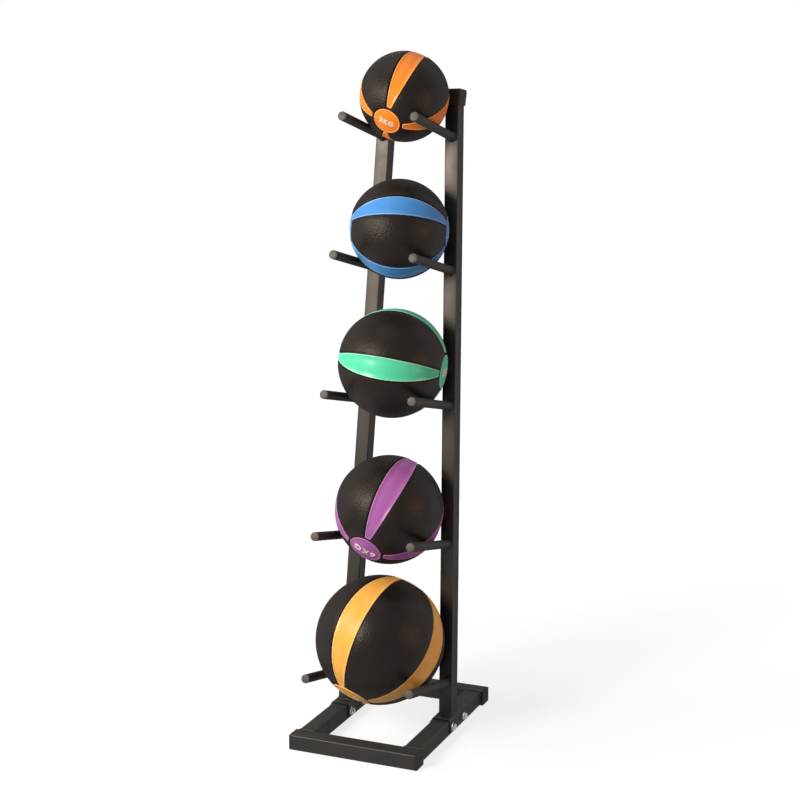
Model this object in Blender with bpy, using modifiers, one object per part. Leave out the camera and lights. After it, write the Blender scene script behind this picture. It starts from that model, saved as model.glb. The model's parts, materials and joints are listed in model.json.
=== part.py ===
"""Free-standing ball rack: a welded tube base, two leaning uprights, five tiers of twin pegs, five balls.

Units are metres, +Z is up, -Y is the front and +X is the right-hand side as seen from the front.
The origin is on the floor under the middle of the base. Tier 1 is the top tier and tier 5 the lowest.
"""

import math
from collections import namedtuple

import bmesh
import bpy
from mathutils import Matrix, Vector

# Gap kept between two pieces that touch or are welded to each other
SEAT_GAP = 0.0003

# Points closer than this are merged
MERGE_DISTANCE = 0.00001

# The two sides, as seen from the front, and the sign of their X
SIDES = (("left", -1), ("right", 1))

# Base frame of rectangular tube
BASE_DEPTH = 0.435
BASE_WIDTH = 0.281
BASE_TUBE_WIDTH = 0.038
BASE_TUBE_HEIGHT = 0.034
BASE_TUBE_WALL = 0.002
BASE_TUBE_RADIUS = 0.003
CROSS_TUBE_OVERHANG = 0.002

# Plastic plugs in the open ends of the two cross tubes
END_PLUG_FLANGE = 0.005
END_PLUG_EDGE_RADIUS = 0.0022
END_PLUG_STEM = 0.018
END_PLUG_WALL = 0.0025
END_PLUG_FIN_DEPTH = 0.0012
END_PLUG_FINS = 2

# Uprights of square tube, which lean back and draw in towards the top
UPRIGHT_SIZE = 0.032
UPRIGHT_WALL = 0.0015
UPRIGHT_RADIUS = 0.003
UPRIGHT_TOP = 1.3805
UPRIGHT_LEAN = math.radians(5.78)
UPRIGHT_SETBACK = 0.2277
UPRIGHT_TOP_SPACING = 0.1532

# Rubber caps pulled over the tops of the uprights
TOP_CAP_DEPTH = 0.034
TOP_CAP_END_WALL = 0.0035
TOP_CAP_SIDE_WALL = 0.0045
TOP_CAP_LIP_WALL = 0.0025
TOP_CAP_EDGE_RADIUS = 0.005

# Channel brackets that straddle the side tubes and carry the uprights
BRACKET_LENGTH = 0.090
BRACKET_THICKNESS = 0.003
BRACKET_OFFSET = 0.004
BRACKET_FLOOR_CLEARANCE = 0.006

# Flange bolts and nuts, M8, through the brackets and the side tubes
BOLT_DIAMETER = 0.008
BOLT_SPACING = 0.068
BOLT_HEIGHT = 0.0185
BOLT_HEAD_FLATS = 0.013
BOLT_HEAD_HEIGHT = 0.0071
BOLT_CHAMFER = 0.001
FLANGE_DIAMETER = 0.017
FLANGE_RIM = 0.0008
FLANGE_HEIGHT = 0.0024
NUT_HEIGHT = 0.0065
BOLT_PROTRUSION = 0.003
BOLT_HOLE_CLEARANCE = 0.0004

# Pegs of round tube, two to a tier
PEG_DIAMETER = 0.019
PEG_WALL = 0.0015
PEG_LENGTH = 0.2165
PEG_RISE = math.radians(12.54)
PEG_PLUG_DOME = 0.0022
PEG_PLUG_RIM = 0.0012
PEG_PLUG_STEM = 0.012
TIER_HEIGHTS = (1.2849, 1.0030, 0.7132, 0.4136, 0.1077)

# Colour bands moulded into the balls: two end discs joined by four stripes
BAND_RECESS = 0.0022
DISC_ANGLE = math.radians(18.2)
STRIPE_WIDTH = math.radians(23.0)
STRIPE_COUNT = 4
BAND_SIDE_GAP = 0.0004

# Inflation valve, flush with the black rubber
VALVE_HEAD_DIAMETER = 0.013
VALVE_HEAD_DEPTH = 0.0025
VALVE_STEM_DIAMETER = 0.009

# Facet counts
CORNER_STEPS = 2
PEG_SIDES = 14
BOLT_SIDES = 12
VALVE_SIDES = 12
DISC_RINGS = 1
STRIPE_RINGS = 9
STRIPE_FACETS = 2
PANEL_FACETS = 4
CAVITY_SEGMENTS = 12
CAVITY_RINGS = 7

# Edges that turn by more than this stay sharp
SMOOTH_BELOW = math.radians(50)

# How many times the search for a ball's resting place halves its range
SEAT_HALVINGS = 30

# The balls, from the top tier down. A wall gives its ball the mass that is printed on it.
BALL_DIAMETERS = (0.190, 0.213, 0.236, 0.236, 0.280)
BALL_WALLS = (0.0188, 0.0229, 0.0334, 0.0445, 0.0373)

# How far a ball's facets lie inside its diameter where it rests
BALL_FLATS = (0.0004, 0.0005, 0.0006, 0.00045, 0.0007)

BALL_COLOURS = ("E8812E", "2F6FC4", "35B583", "7E3A86", "E3A02F")

# Direction of the disc that shows most, and the degrees about it from straight up to the first stripe
BALL_POLES = (
    (-0.09, -0.83, -0.55),
    (0.937, 0.346, -0.052),
    (0.976, 0.176, -0.132),
    (-0.155, -0.782, -0.603),
    (-0.26, -0.56, -0.78),
)
BALL_TURNS = (66, 57, 86, 61, 77)

# The black panel that holds the valve, counted on from the first stripe
BALL_VALVE_PANELS = (0, 2, 2, 0, 0)

Ball = namedtuple("Ball", "diameter wall flat colour pole turn valve_panel")
BALLS = tuple(
    Ball(*values)
    for values in zip(
        BALL_DIAMETERS, BALL_WALLS, BALL_FLATS, BALL_COLOURS, BALL_POLES, BALL_TURNS, BALL_VALVE_PANELS)
)

# Sizes that follow from the ones above
SIDE_TUBE_X = BASE_WIDTH / 2 - BASE_TUBE_WIDTH / 2
CROSS_TUBE_LENGTH = BASE_WIDTH + 2 * CROSS_TUBE_OVERHANG
CROSS_TUBE_Y = BASE_DEPTH / 2 - BASE_TUBE_WIDTH / 2
SIDE_TUBE_LENGTH = BASE_DEPTH - 2 * BASE_TUBE_WIDTH - 2 * SEAT_GAP
BRACKET_TOP = BASE_TUBE_HEIGHT + SEAT_GAP + BRACKET_THICKNESS
FOOT_Z = BRACKET_TOP + SEAT_GAP
FOOT_FRONT_Y = -BASE_DEPTH / 2 + UPRIGHT_SETBACK
FOOT_CENTRE_Y = FOOT_FRONT_Y + UPRIGHT_SIZE / 2 / math.cos(UPRIGHT_LEAN)
BRACKET_Y = FOOT_CENTRE_Y + BRACKET_OFFSET
FLAP_OUTSIDE = BASE_TUBE_WIDTH / 2 + SEAT_GAP + BRACKET_THICKNESS
PEG_DIRECTION = Vector((0.0, -math.cos(PEG_RISE), math.sin(PEG_RISE)))
PEG_UP = Vector((0.0, math.sin(PEG_RISE), math.cos(PEG_RISE)))
PLUG_HEAD = PEG_PLUG_DOME + PEG_PLUG_RIM


# Scene, collections and materials

def clear_scene():
    for obj in list(bpy.data.objects):
        bpy.data.objects.remove(obj, do_unlink=True)


def new_collection(name):
    collection = bpy.data.collections.new(name)
    bpy.context.scene.collection.children.link(collection)
    return collection


def linear(channel):
    return channel / 12.92 if channel <= 0.04045 else ((channel + 0.055) / 1.055) ** 2.4


def new_material(name, hex_colour, roughness, metallic=0.0):
    material = bpy.data.materials.new(name)
    material.use_nodes = True
    shader = material.node_tree.nodes["Principled BSDF"]
    red, green, blue = (linear(int(hex_colour[i:i + 2], 16) / 255) for i in (0, 2, 4))
    shader.inputs["Base Color"].default_value = (red, green, blue, 1.0)
    shader.inputs["Roughness"].default_value = roughness
    shader.inputs["Metallic"].default_value = metallic
    return material


clear_scene()
PARTS = new_collection("ball_rack")
CUTTERS = new_collection("ball_rack_cutters")
BLACK_PAINT = new_material("black_powder_coat", "2B2A29", 0.45)
BLACK_PLASTIC = new_material("black_plastic", "1F1F20", 0.5)
CAP_RUBBER = new_material("cap_rubber", "242321", 0.6)
GREY_PLASTIC = new_material("peg_plug_plastic", "6E6C6A", 0.55)
ZINC = new_material("zinc_plated_steel", "B4B4AE", 0.3, 1.0)
BALL_RUBBER = new_material("black_ball_rubber", "26231F", 0.55)


# Outlines in the XY plane, as lists of points that run anticlockwise

def circle(diameter, sides):
    turn = 2 * math.pi / sides
    return [(diameter / 2 * math.cos(turn * k), diameter / 2 * math.sin(turn * k)) for k in range(sides)]


def hexagon(across_flats, sides):
    """A hexagon given by its corners and the middles of its flats, so that it skins to a circle."""
    points = []
    for k in range(sides):
        angle = 2 * math.pi * k / sides
        off_flat = (angle + math.pi / 6) % (math.pi / 3) - math.pi / 6
        reach = across_flats / 2 / math.cos(off_flat)
        points.append((reach * math.cos(angle), reach * math.sin(angle)))
    return points


def rounded_rectangle(width, height, radius):
    points = []
    for quarter, (side_x, side_y) in enumerate(((1, 1), (-1, 1), (-1, -1), (1, -1))):
        for step in range(CORNER_STEPS + 1):
            angle = math.pi / 2 * (quarter + step / CORNER_STEPS)
            points.append((
                side_x * (width / 2 - radius) + radius * math.cos(angle),
                side_y * (height / 2 - radius) + radius * math.sin(angle),
            ))
    return points


# Building blocks

def lift(points, height):
    return [Vector((x, y, height)) for x, y in points]


def to_plane(points, plane):
    """Slides the points of an outline along local Z onto a plane given by a point and a normal."""
    point, normal = plane
    return [
        Vector((x, y, point.z - ((x - point.x) * normal.x + (y - point.y) * normal.y) / normal.z))
        for x, y in points
    ]


def local_plane(frame, point, normal):
    return frame.inverted() @ point, frame.inverted().to_3x3() @ normal


def add_object(name, bm, material, frame=None, parent=None, collection=None):
    mesh = bpy.data.meshes.new(name)
    bmesh.ops.recalc_face_normals(bm, faces=bm.faces)
    bm.to_mesh(mesh)
    bm.free()
    mesh.materials.append(material)
    obj = bpy.data.objects.new(name, mesh)
    (collection or PARTS).objects.link(obj)
    obj.parent = parent
    if frame is not None:
        obj.matrix_local = frame
    return obj


def extrude_ring(bm, verts, loop, points):
    """Extrudes a loop of edges and moves the new loop to the given points."""
    geometry = bmesh.ops.extrude_edge_only(bm, edges=loop)["geom"]
    order = {vert: i for i, vert in enumerate(verts)}
    new_verts = [None] * len(verts)
    for item in geometry:
        if isinstance(item, bmesh.types.BMVert):
            neighbours = [edge.other_vert(item) for edge in item.link_edges]
            source = next(order[vert] for vert in neighbours if vert in order)
            item.co = points[source]
            new_verts[source] = item
    return new_verts, [item for item in geometry if isinstance(item, bmesh.types.BMEdge)]


def skin(name, rings, material, frame=None, closed_loop=False):
    """Extrudes a ring through all the others, back to the first one or with the two end rings filled."""
    bm = bmesh.new()
    verts = [bm.verts.new(point) for point in rings[0]]
    loop = [bm.edges.new((vert, verts[i - 1])) for i, vert in enumerate(verts)]
    first_loop = loop
    for ring in rings[1:]:
        verts, loop = extrude_ring(bm, verts, loop, ring)
    if closed_loop:
        extrude_ring(bm, verts, loop, rings[0])
        bmesh.ops.remove_doubles(bm, verts=bm.verts, dist=MERGE_DISTANCE)
    else:
        for end_loop in (first_loop, loop):
            bmesh.ops.contextual_create(bm, geom=end_loop)
    obj = add_object(name, bm, material, frame)
    shade_smooth(obj)
    return obj


def tube(name, outer, inner, frame, start, end, material):
    """A tube whose two ends are cut by planes, given in its own frame."""
    rings = [to_plane(outer, start), to_plane(outer, end), to_plane(inner, end), to_plane(inner, start)]
    return skin(name, rings, material, frame, closed_loop=True)


def turned(name, profile, sides, material, frame=None, parent=None):
    """A solid of revolution about local Z from a profile that runs from its top to its bottom."""
    mesh = bpy.data.meshes.new(name)
    edges = [(i, i + 1) for i in range(len(profile) - 1)]
    mesh.from_pydata([(radius, 0.0, height) for radius, height in profile], edges, [])
    mesh.materials.append(material)
    obj = bpy.data.objects.new(name, mesh)
    PARTS.objects.link(obj)
    obj.parent = parent
    if frame is not None:
        obj.matrix_local = frame
    screw = obj.modifiers.new("turn", "SCREW")
    screw.axis = "Z"
    screw.steps = sides
    screw.render_steps = sides
    screw.use_merge_vertices = True
    screw.merge_threshold = MERGE_DISTANCE
    screw.use_smooth_shade = True
    return obj


def cutter_cylinder(name, diameter, start, end, sides, parent=None):
    """A round cutter between two points."""
    bm = bmesh.new()
    span = end - start
    bmesh.ops.create_cone(
        bm, cap_ends=True, segments=sides, radius1=diameter / 2, radius2=diameter / 2, depth=span.length)
    frame = Matrix.Translation((start + end) / 2) @ span.to_track_quat("Z", "Y").to_matrix().to_4x4()
    obj = add_object(name, bm, BLACK_PAINT, frame, parent, CUTTERS)
    hide_cutter(obj)
    return obj


def hide_cutter(obj):
    obj.hide_render = True
    obj.display_type = "WIRE"


def cut(obj, cutter):
    modifier = obj.modifiers.new("cut_" + cutter.name, "BOOLEAN")
    modifier.operation = "DIFFERENCE"
    modifier.solver = "EXACT"
    modifier.object = cutter


def shade_smooth(obj):
    obj.data.shade_smooth()
    obj.data.set_sharp_from_angle(angle=SMOOTH_BELOW)


# Base frame

def base_tube(name, length, frame):
    outer = rounded_rectangle(BASE_TUBE_WIDTH, BASE_TUBE_HEIGHT, BASE_TUBE_RADIUS)
    inner = rounded_rectangle(
        BASE_TUBE_WIDTH - 2 * BASE_TUBE_WALL,
        BASE_TUBE_HEIGHT - 2 * BASE_TUBE_WALL,
        BASE_TUBE_RADIUS - BASE_TUBE_WALL,
    )
    square = Vector((0, 0, 1))
    start = (Vector((0, 0, -length / 2)), square)
    end = (Vector((0, 0, length / 2)), square)
    return tube(name, outer, inner, frame, start, end, BLACK_PAINT)


def tube_frame(direction, centre):
    """A frame with local Z along the tube and local Y up."""
    along = Vector(direction)
    up = Vector((0, 0, 1))
    rotation = Matrix((up.cross(along), up, along)).transposed().to_4x4()
    return Matrix.Translation(centre) @ rotation


def build_base():
    """The two cross tubes and the two side tubes between them. Returns the side tubes by side."""
    middle = BASE_TUBE_HEIGHT / 2
    for name, y in (("base_front_tube", -CROSS_TUBE_Y), ("base_rear_tube", CROSS_TUBE_Y)):
        base_tube(name, CROSS_TUBE_LENGTH, tube_frame((1, 0, 0), (0, y, middle)))
    side_tubes = {}
    for side, sign in SIDES:
        frame = tube_frame((0, 1, 0), (sign * SIDE_TUBE_X, 0, middle))
        side_tubes[side] = base_tube("base_side_tube_" + side, SIDE_TUBE_LENGTH, frame)
    return side_tubes


def end_plug(name, frame):
    """A plug with a rounded flange and a hollow, finned stem, local Z pointing out of the tube."""
    fit = BASE_TUBE_WALL + SEAT_GAP
    bore_radius = BASE_TUBE_RADIUS - BASE_TUBE_WALL

    def section(inset):
        radius = max(BASE_TUBE_RADIUS - inset, bore_radius)
        return rounded_rectangle(BASE_TUBE_WIDTH - 2 * inset, BASE_TUBE_HEIGHT - 2 * inset, radius)

    root = fit + END_PLUG_FIN_DEPTH
    rings = []
    for step in range(CORNER_STEPS + 1):
        angle = math.pi / 2 * (1 - step / CORNER_STEPS)
        inset = END_PLUG_EDGE_RADIUS * (1 - math.cos(angle))
        height = END_PLUG_FLANGE - END_PLUG_EDGE_RADIUS * (1 - math.sin(angle))
        rings.append(lift(section(inset), height))
    rings.append(lift(section(0), 0))
    rings.append(lift(section(root), 0))
    half_pitch = END_PLUG_STEM / (2 * END_PLUG_FINS + 1)
    for fin in range(END_PLUG_FINS):
        top = -half_pitch * (2 * fin + 1)
        rings.append(lift(section(root), top))
        rings.append(lift(section(fit), top))
        rings.append(lift(section(root), top - half_pitch))
    rings.append(lift(section(root), -END_PLUG_STEM))
    hollow = root + END_PLUG_WALL
    rings.append(lift(section(hollow), -END_PLUG_STEM))
    rings.append(lift(section(hollow), 0))
    return skin(name, rings, BLACK_PLASTIC, frame)


def build_end_plugs():
    reach = CROSS_TUBE_LENGTH / 2 + SEAT_GAP
    for place, y in (("front", -CROSS_TUBE_Y), ("rear", CROSS_TUBE_Y)):
        for side, sign in SIDES:
            frame = tube_frame((sign, 0, 0), (sign * reach, y, BASE_TUBE_HEIGHT / 2))
            end_plug("end_plug_" + place + "_" + side, frame)


# Uprights and their caps

def upright_frame(sign):
    """The frame of an upright: its origin in the middle of the foot, local Z along it and local Y back."""
    foot = Vector((sign * SIDE_TUBE_X, FOOT_CENTRE_Y, FOOT_Z))
    rise = UPRIGHT_TOP - FOOT_Z
    draw_in = sign * (UPRIGHT_TOP_SPACING / 2 - SIDE_TUBE_X)
    along = Vector((draw_in, rise * math.tan(UPRIGHT_LEAN), rise)).normalized()
    across = (Vector((1, 0, 0)) - along.x * along).normalized()
    rotation = Matrix((across, along.cross(across), along)).transposed().to_4x4()
    return Matrix.Translation(foot) @ rotation


def upright_length(frame):
    return (UPRIGHT_TOP - FOOT_Z) / frame.to_3x3().col[2].z


def build_upright(side, frame):
    outer = rounded_rectangle(UPRIGHT_SIZE, UPRIGHT_SIZE, UPRIGHT_RADIUS)
    bore = UPRIGHT_SIZE - 2 * UPRIGHT_WALL
    inner = rounded_rectangle(bore, bore, UPRIGHT_RADIUS - UPRIGHT_WALL)
    foot = local_plane(frame, Vector((0, 0, FOOT_Z)), Vector((0, 0, 1)))
    top = (Vector((0, 0, upright_length(frame))), Vector((0, 0, 1)))
    tube("upright_" + side, outer, inner, frame, foot, top, BLACK_PAINT)


def build_top_cap(side, frame):
    """A rubber cap over the upright's end, thicker at the top, with rounded upper edges."""
    end = upright_length(frame) + SEAT_GAP
    top = end + TOP_CAP_END_WALL
    pocket = UPRIGHT_SIZE + 2 * SEAT_GAP
    pocket_radius = UPRIGHT_RADIUS + SEAT_GAP
    wide = pocket + 2 * TOP_CAP_SIDE_WALL
    lip = pocket + 2 * TOP_CAP_LIP_WALL
    edge = TOP_CAP_EDGE_RADIUS
    round_edge = min(edge, TOP_CAP_END_WALL)
    rings = [
        lift(rounded_rectangle(pocket, pocket, pocket_radius), end),
        lift(rounded_rectangle(pocket, pocket, pocket_radius), top - TOP_CAP_DEPTH),
        lift(rounded_rectangle(lip, lip, edge), top - TOP_CAP_DEPTH),
    ]
    for step in range(CORNER_STEPS + 1):
        angle = math.pi / 2 * step / CORNER_STEPS
        inset = round_edge * (1 - math.cos(angle))
        height = top - round_edge * (1 - math.sin(angle))
        rings.append(lift(rounded_rectangle(wide - 2 * inset, wide - 2 * inset, edge), height))
    skin("top_cap_" + side, rings, CAP_RUBBER, frame)


# Foot brackets with their bolts and nuts

def bracket_outline():
    """Half of a channel section, from the lower end of its right-hand flap up to the middle of its back."""
    inner_radius = BASE_TUBE_RADIUS + SEAT_GAP
    outer_radius = inner_radius + BRACKET_THICKNESS
    centre_x = BASE_TUBE_WIDTH / 2 - BASE_TUBE_RADIUS
    centre_z = BASE_TUBE_HEIGHT - BASE_TUBE_RADIUS

    def bend(radius):
        quarter = [math.pi / 2 * step / CORNER_STEPS for step in range(CORNER_STEPS + 1)]
        return [(centre_x + radius * math.cos(a), centre_z + radius * math.sin(a)) for a in quarter]

    outside = [(FLAP_OUTSIDE, BRACKET_FLOOR_CLEARANCE)] + bend(outer_radius) + [(0, BRACKET_TOP)]
    back = BASE_TUBE_HEIGHT + SEAT_GAP
    flap_inside = FLAP_OUTSIDE - BRACKET_THICKNESS
    inside = [(0, back)] + bend(inner_radius)[::-1] + [(flap_inside, BRACKET_FLOOR_CLEARANCE)]
    return outside + inside


def build_bracket(side, sign, cutters):
    """A bent channel: half its section is extruded along Y and mirrored across the side tube."""
    bm = bmesh.new()
    start = BRACKET_Y - BRACKET_LENGTH / 2
    verts = [bm.verts.new((x, start, z)) for x, z in bracket_outline()]
    face = bm.faces.new(verts)
    extruded = bmesh.ops.extrude_face_region(bm, geom=[face])
    moved = [item for item in extruded["geom"] if isinstance(item, bmesh.types.BMVert)]
    bmesh.ops.translate(bm, vec=(0, BRACKET_LENGTH, 0), verts=moved)
    middle = [f for f in bm.faces if all(abs(v.co.x) < SEAT_GAP for v in f.verts)]
    bmesh.ops.delete(bm, geom=middle, context="FACES_ONLY")
    bracket = add_object(
        "foot_bracket_" + side, bm, BLACK_PAINT, Matrix.Translation((sign * SIDE_TUBE_X, 0, 0)))
    mirror = bracket.modifiers.new("other_half", "MIRROR")
    mirror.use_axis = (True, False, False)
    mirror.use_clip = True
    mirror.merge_threshold = MERGE_DISTANCE
    for cutter in cutters:
        cut(bracket, cutter)
    shade_smooth(bracket)


def bolt_places():
    half = BOLT_SPACING / 2
    return (("front", BRACKET_Y - half), ("rear", BRACKET_Y + half))


def bolt_frame(sign, y):
    """Local Z points out of the head, away from the middle of the rack, from the bracket's outer face."""
    face_x = SIDE_TUBE_X + FLAP_OUTSIDE + SEAT_GAP
    return tube_frame((sign, 0, 0), (sign * face_x, y, BOLT_HEIGHT))


def nut_depth():
    """How far the nut's seat lies behind the seat of the bolt head."""
    return 2 * FLAP_OUTSIDE + 2 * SEAT_GAP


def build_bolt(name, frame):
    """Hex head with a washer flange, and a shank that ends past the nut with a chamfer."""
    tip = nut_depth() + NUT_HEIGHT + BOLT_PROTRUSION
    rings = [
        lift(circle(BOLT_HEAD_FLATS - BOLT_CHAMFER, BOLT_SIDES), BOLT_HEAD_HEIGHT),
        lift(hexagon(BOLT_HEAD_FLATS, BOLT_SIDES), BOLT_HEAD_HEIGHT - BOLT_CHAMFER),
        lift(hexagon(BOLT_HEAD_FLATS, BOLT_SIDES), FLANGE_HEIGHT),
        lift(circle(FLANGE_DIAMETER, BOLT_SIDES), FLANGE_RIM),
        lift(circle(FLANGE_DIAMETER, BOLT_SIDES), 0),
        lift(circle(BOLT_DIAMETER, BOLT_SIDES), 0),
        lift(circle(BOLT_DIAMETER, BOLT_SIDES), BOLT_CHAMFER - tip),
        lift(circle(BOLT_DIAMETER - 2 * BOLT_CHAMFER, BOLT_SIDES), -tip),
    ]
    skin(name, rings, ZINC, frame)


def build_nut(name, frame):
    """Hex nut with a washer flange, seated on the bracket's inner face and facing the middle of the rack."""
    seat = -nut_depth()
    face = seat - NUT_HEIGHT
    bore = BOLT_DIAMETER + 2 * SEAT_GAP
    rings = [
        lift(circle(bore, BOLT_SIDES), seat),
        lift(circle(FLANGE_DIAMETER, BOLT_SIDES), seat),
        lift(circle(FLANGE_DIAMETER, BOLT_SIDES), seat - FLANGE_RIM),
        lift(hexagon(BOLT_HEAD_FLATS, BOLT_SIDES), seat - FLANGE_HEIGHT),
        lift(hexagon(BOLT_HEAD_FLATS, BOLT_SIDES), face + BOLT_CHAMFER),
        lift(circle(BOLT_HEAD_FLATS - BOLT_CHAMFER, BOLT_SIDES), face),
        lift(circle(bore, BOLT_SIDES), face),
    ]
    skin(name, rings, ZINC, frame, closed_loop=True)


def build_foot(side, sign, side_tube):
    """The bracket of one upright, its two bolts and nuts, and the holes they pass through."""
    reach = BASE_TUBE_WIDTH
    hole = BOLT_DIAMETER + 2 * BOLT_HOLE_CLEARANCE
    cutters = []
    for place, y in bolt_places():
        start = Vector((sign * SIDE_TUBE_X - reach, y, BOLT_HEIGHT))
        end = Vector((sign * SIDE_TUBE_X + reach, y, BOLT_HEIGHT))
        cutters.append(cutter_cylinder("bolt_hole_" + side + "_" + place, hole, start, end, BOLT_SIDES))
        frame = bolt_frame(sign, y)
        build_bolt("foot_bolt_" + side + "_" + place, frame)
        build_nut("foot_nut_" + side + "_" + place, frame)
    for cutter in cutters:
        cut(side_tube, cutter)
    build_bracket(side, sign, cutters)


# Pegs

def peg_root(frame, height):
    """The point at a given height on the centre line of an upright's front face."""
    across, back, along = frame.to_3x3().transposed()
    start = frame.translation - back * UPRIGHT_SIZE / 2
    return start + along * ((height - start.z) / along.z)


def build_peg(tier, side, frame, height):
    """A round tube whose root is cut to lie on the leaning face of the upright, with a plug in its tip."""
    root = peg_root(frame, height)
    rotation = Matrix((PEG_DIRECTION.cross(PEG_UP), PEG_UP, PEG_DIRECTION)).transposed().to_4x4()
    peg_frame = Matrix.Translation(root) @ rotation
    face_normal = -frame.to_3x3().col[1]
    start = local_plane(peg_frame, root + face_normal * SEAT_GAP, face_normal)
    length = PEG_LENGTH - PLUG_HEAD - SEAT_GAP
    end = (Vector((0, 0, length)), Vector((0, 0, 1)))
    outer = circle(PEG_DIAMETER, PEG_SIDES)
    inner = circle(PEG_DIAMETER - 2 * PEG_WALL, PEG_SIDES)
    tube("peg_" + tier + "_" + side, outer, inner, peg_frame, start, end, BLACK_PAINT)
    build_peg_plug(tier, side, peg_frame @ Matrix.Translation((0, 0, length + SEAT_GAP)))


def build_peg_plug(tier, side, frame):
    """A shallow domed plastic plug with a short stem, seated on the end of the peg."""
    rim = PEG_DIAMETER / 2
    stem = rim - PEG_WALL - SEAT_GAP
    dome = [
        (rim * math.sin(angle), PEG_PLUG_RIM + PEG_PLUG_DOME * math.cos(angle))
        for angle in (math.pi / 2 * step / CORNER_STEPS for step in range(CORNER_STEPS + 1))
    ]
    profile = dome + [(rim, 0), (stem, 0), (stem, -PEG_PLUG_STEM), (0, -PEG_PLUG_STEM)]
    turned("peg_plug_" + tier + "_" + side, profile, PEG_SIDES, GREY_PLASTIC, frame)


# Balls

def seat_ball(ball, height, frame):
    """Where a ball comes to rest: on its two pegs, slid back until it meets the uprights or their caps."""
    radius = ball.diameter / 2 - ball.flat
    root = peg_root(frame, height)
    touch = radius + PEG_DIAMETER / 2 + SEAT_GAP
    above = math.sqrt(touch * touch - root.x * root.x)
    start = Vector((0, root.y, root.z)) + above * PEG_UP
    across, back, along = frame.to_3x3().transposed()
    length = upright_length(frame)
    cap_top = length + SEAT_GAP + TOP_CAP_END_WALL
    cap_half = UPRIGHT_SIZE / 2 + SEAT_GAP + TOP_CAP_SIDE_WALL

    def clearance(centre):
        """Room between the ball and the rounded inner front edges of the upright and its cap."""
        room = []
        for half, edge, low, high in (
            (UPRIGHT_SIZE / 2, UPRIGHT_RADIUS, 0, length),
            (cap_half, TOP_CAP_EDGE_RADIUS, cap_top - TOP_CAP_DEPTH, cap_top),
        ):
            base = frame.translation - (across + back) * (half - edge)
            reach = min(max((centre - base).dot(along), low), high)
            room.append((centre - base - along * reach).length - edge - radius)
        return min(room) - SEAT_GAP

    near, far = 0.0, PEG_LENGTH
    for _ in range(SEAT_HALVINGS):
        middle = (near + far) / 2
        if clearance(start + middle * PEG_DIRECTION) < 0:
            near = middle
        else:
            far = middle
    return start + far * PEG_DIRECTION


def ball_frame(ball, centre):
    """The ball's own frame: local Z through its discs, local X towards its first stripe."""
    pole = Vector(ball.pole).normalized()
    upward = (Vector((0, 0, 1)) - pole.z * pole).normalized()
    rotation = Matrix((upward, pole.cross(upward), pole)).transposed().to_4x4()
    return Matrix.Translation(centre) @ rotation @ Matrix.Rotation(math.radians(ball.turn), 4, "Z")


def band_surface(radius, disc, stripe):
    """A sphere gridded so that the edges of its discs and stripes are rings and meridians of the grid."""
    rings = [disc * k / DISC_RINGS for k in range(DISC_RINGS)]
    rings += [disc + (math.pi - 2 * disc) * k / STRIPE_RINGS for k in range(STRIPE_RINGS)]
    rings += [math.pi - disc + disc * k / DISC_RINGS for k in range(DISC_RINGS + 1)]
    bm = bmesh.new()
    meridian = Matrix.Rotation(-stripe / 2, 3, "Z")
    verts = [bm.verts.new(meridian @ Vector((math.sin(a), 0, math.cos(a))) * radius) for a in rings]
    geometry = verts + [bm.edges.new(pair) for pair in zip(verts, verts[1:])]
    panel = 2 * math.pi / STRIPE_COUNT - stripe
    for angle, steps in ((stripe, STRIPE_FACETS), (panel, PANEL_FACETS)) * STRIPE_COUNT:
        spun = bmesh.ops.spin(
            bm, geom=geometry, cent=(0, 0, 0), axis=(0, 0, 1), angle=angle, steps=steps, use_merge=False)
        geometry = spun["geom_last"]
    bmesh.ops.remove_doubles(bm, verts=bm.verts, dist=MERGE_DISTANCE)
    bmesh.ops.recalc_face_normals(bm, faces=bm.faces)
    return bm


def band_faces(bm, disc, stripe):
    """The faces of the two discs and the stripes between them."""
    quarter = 2 * math.pi / STRIPE_COUNT
    chosen = []
    for face in bm.faces:
        centre = face.calc_center_median().normalized()
        from_pole = math.acos(max(-1.0, min(1.0, centre.z)))
        off_stripe = (math.atan2(centre.y, centre.x) + quarter / 2) % quarter - quarter / 2
        if min(from_pole, math.pi - from_pole) < disc or abs(off_stripe) < stripe / 2:
            chosen.append(face)
    return chosen


def sink_faces(bm, faces, factor):
    """Extrudes faces towards the centre of the ball and leaves the ones they came from in place."""
    extruded = bmesh.ops.extrude_face_region(bm, geom=faces)
    for item in extruded["geom"]:
        if isinstance(item, bmesh.types.BMVert):
            item.co *= factor


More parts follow.
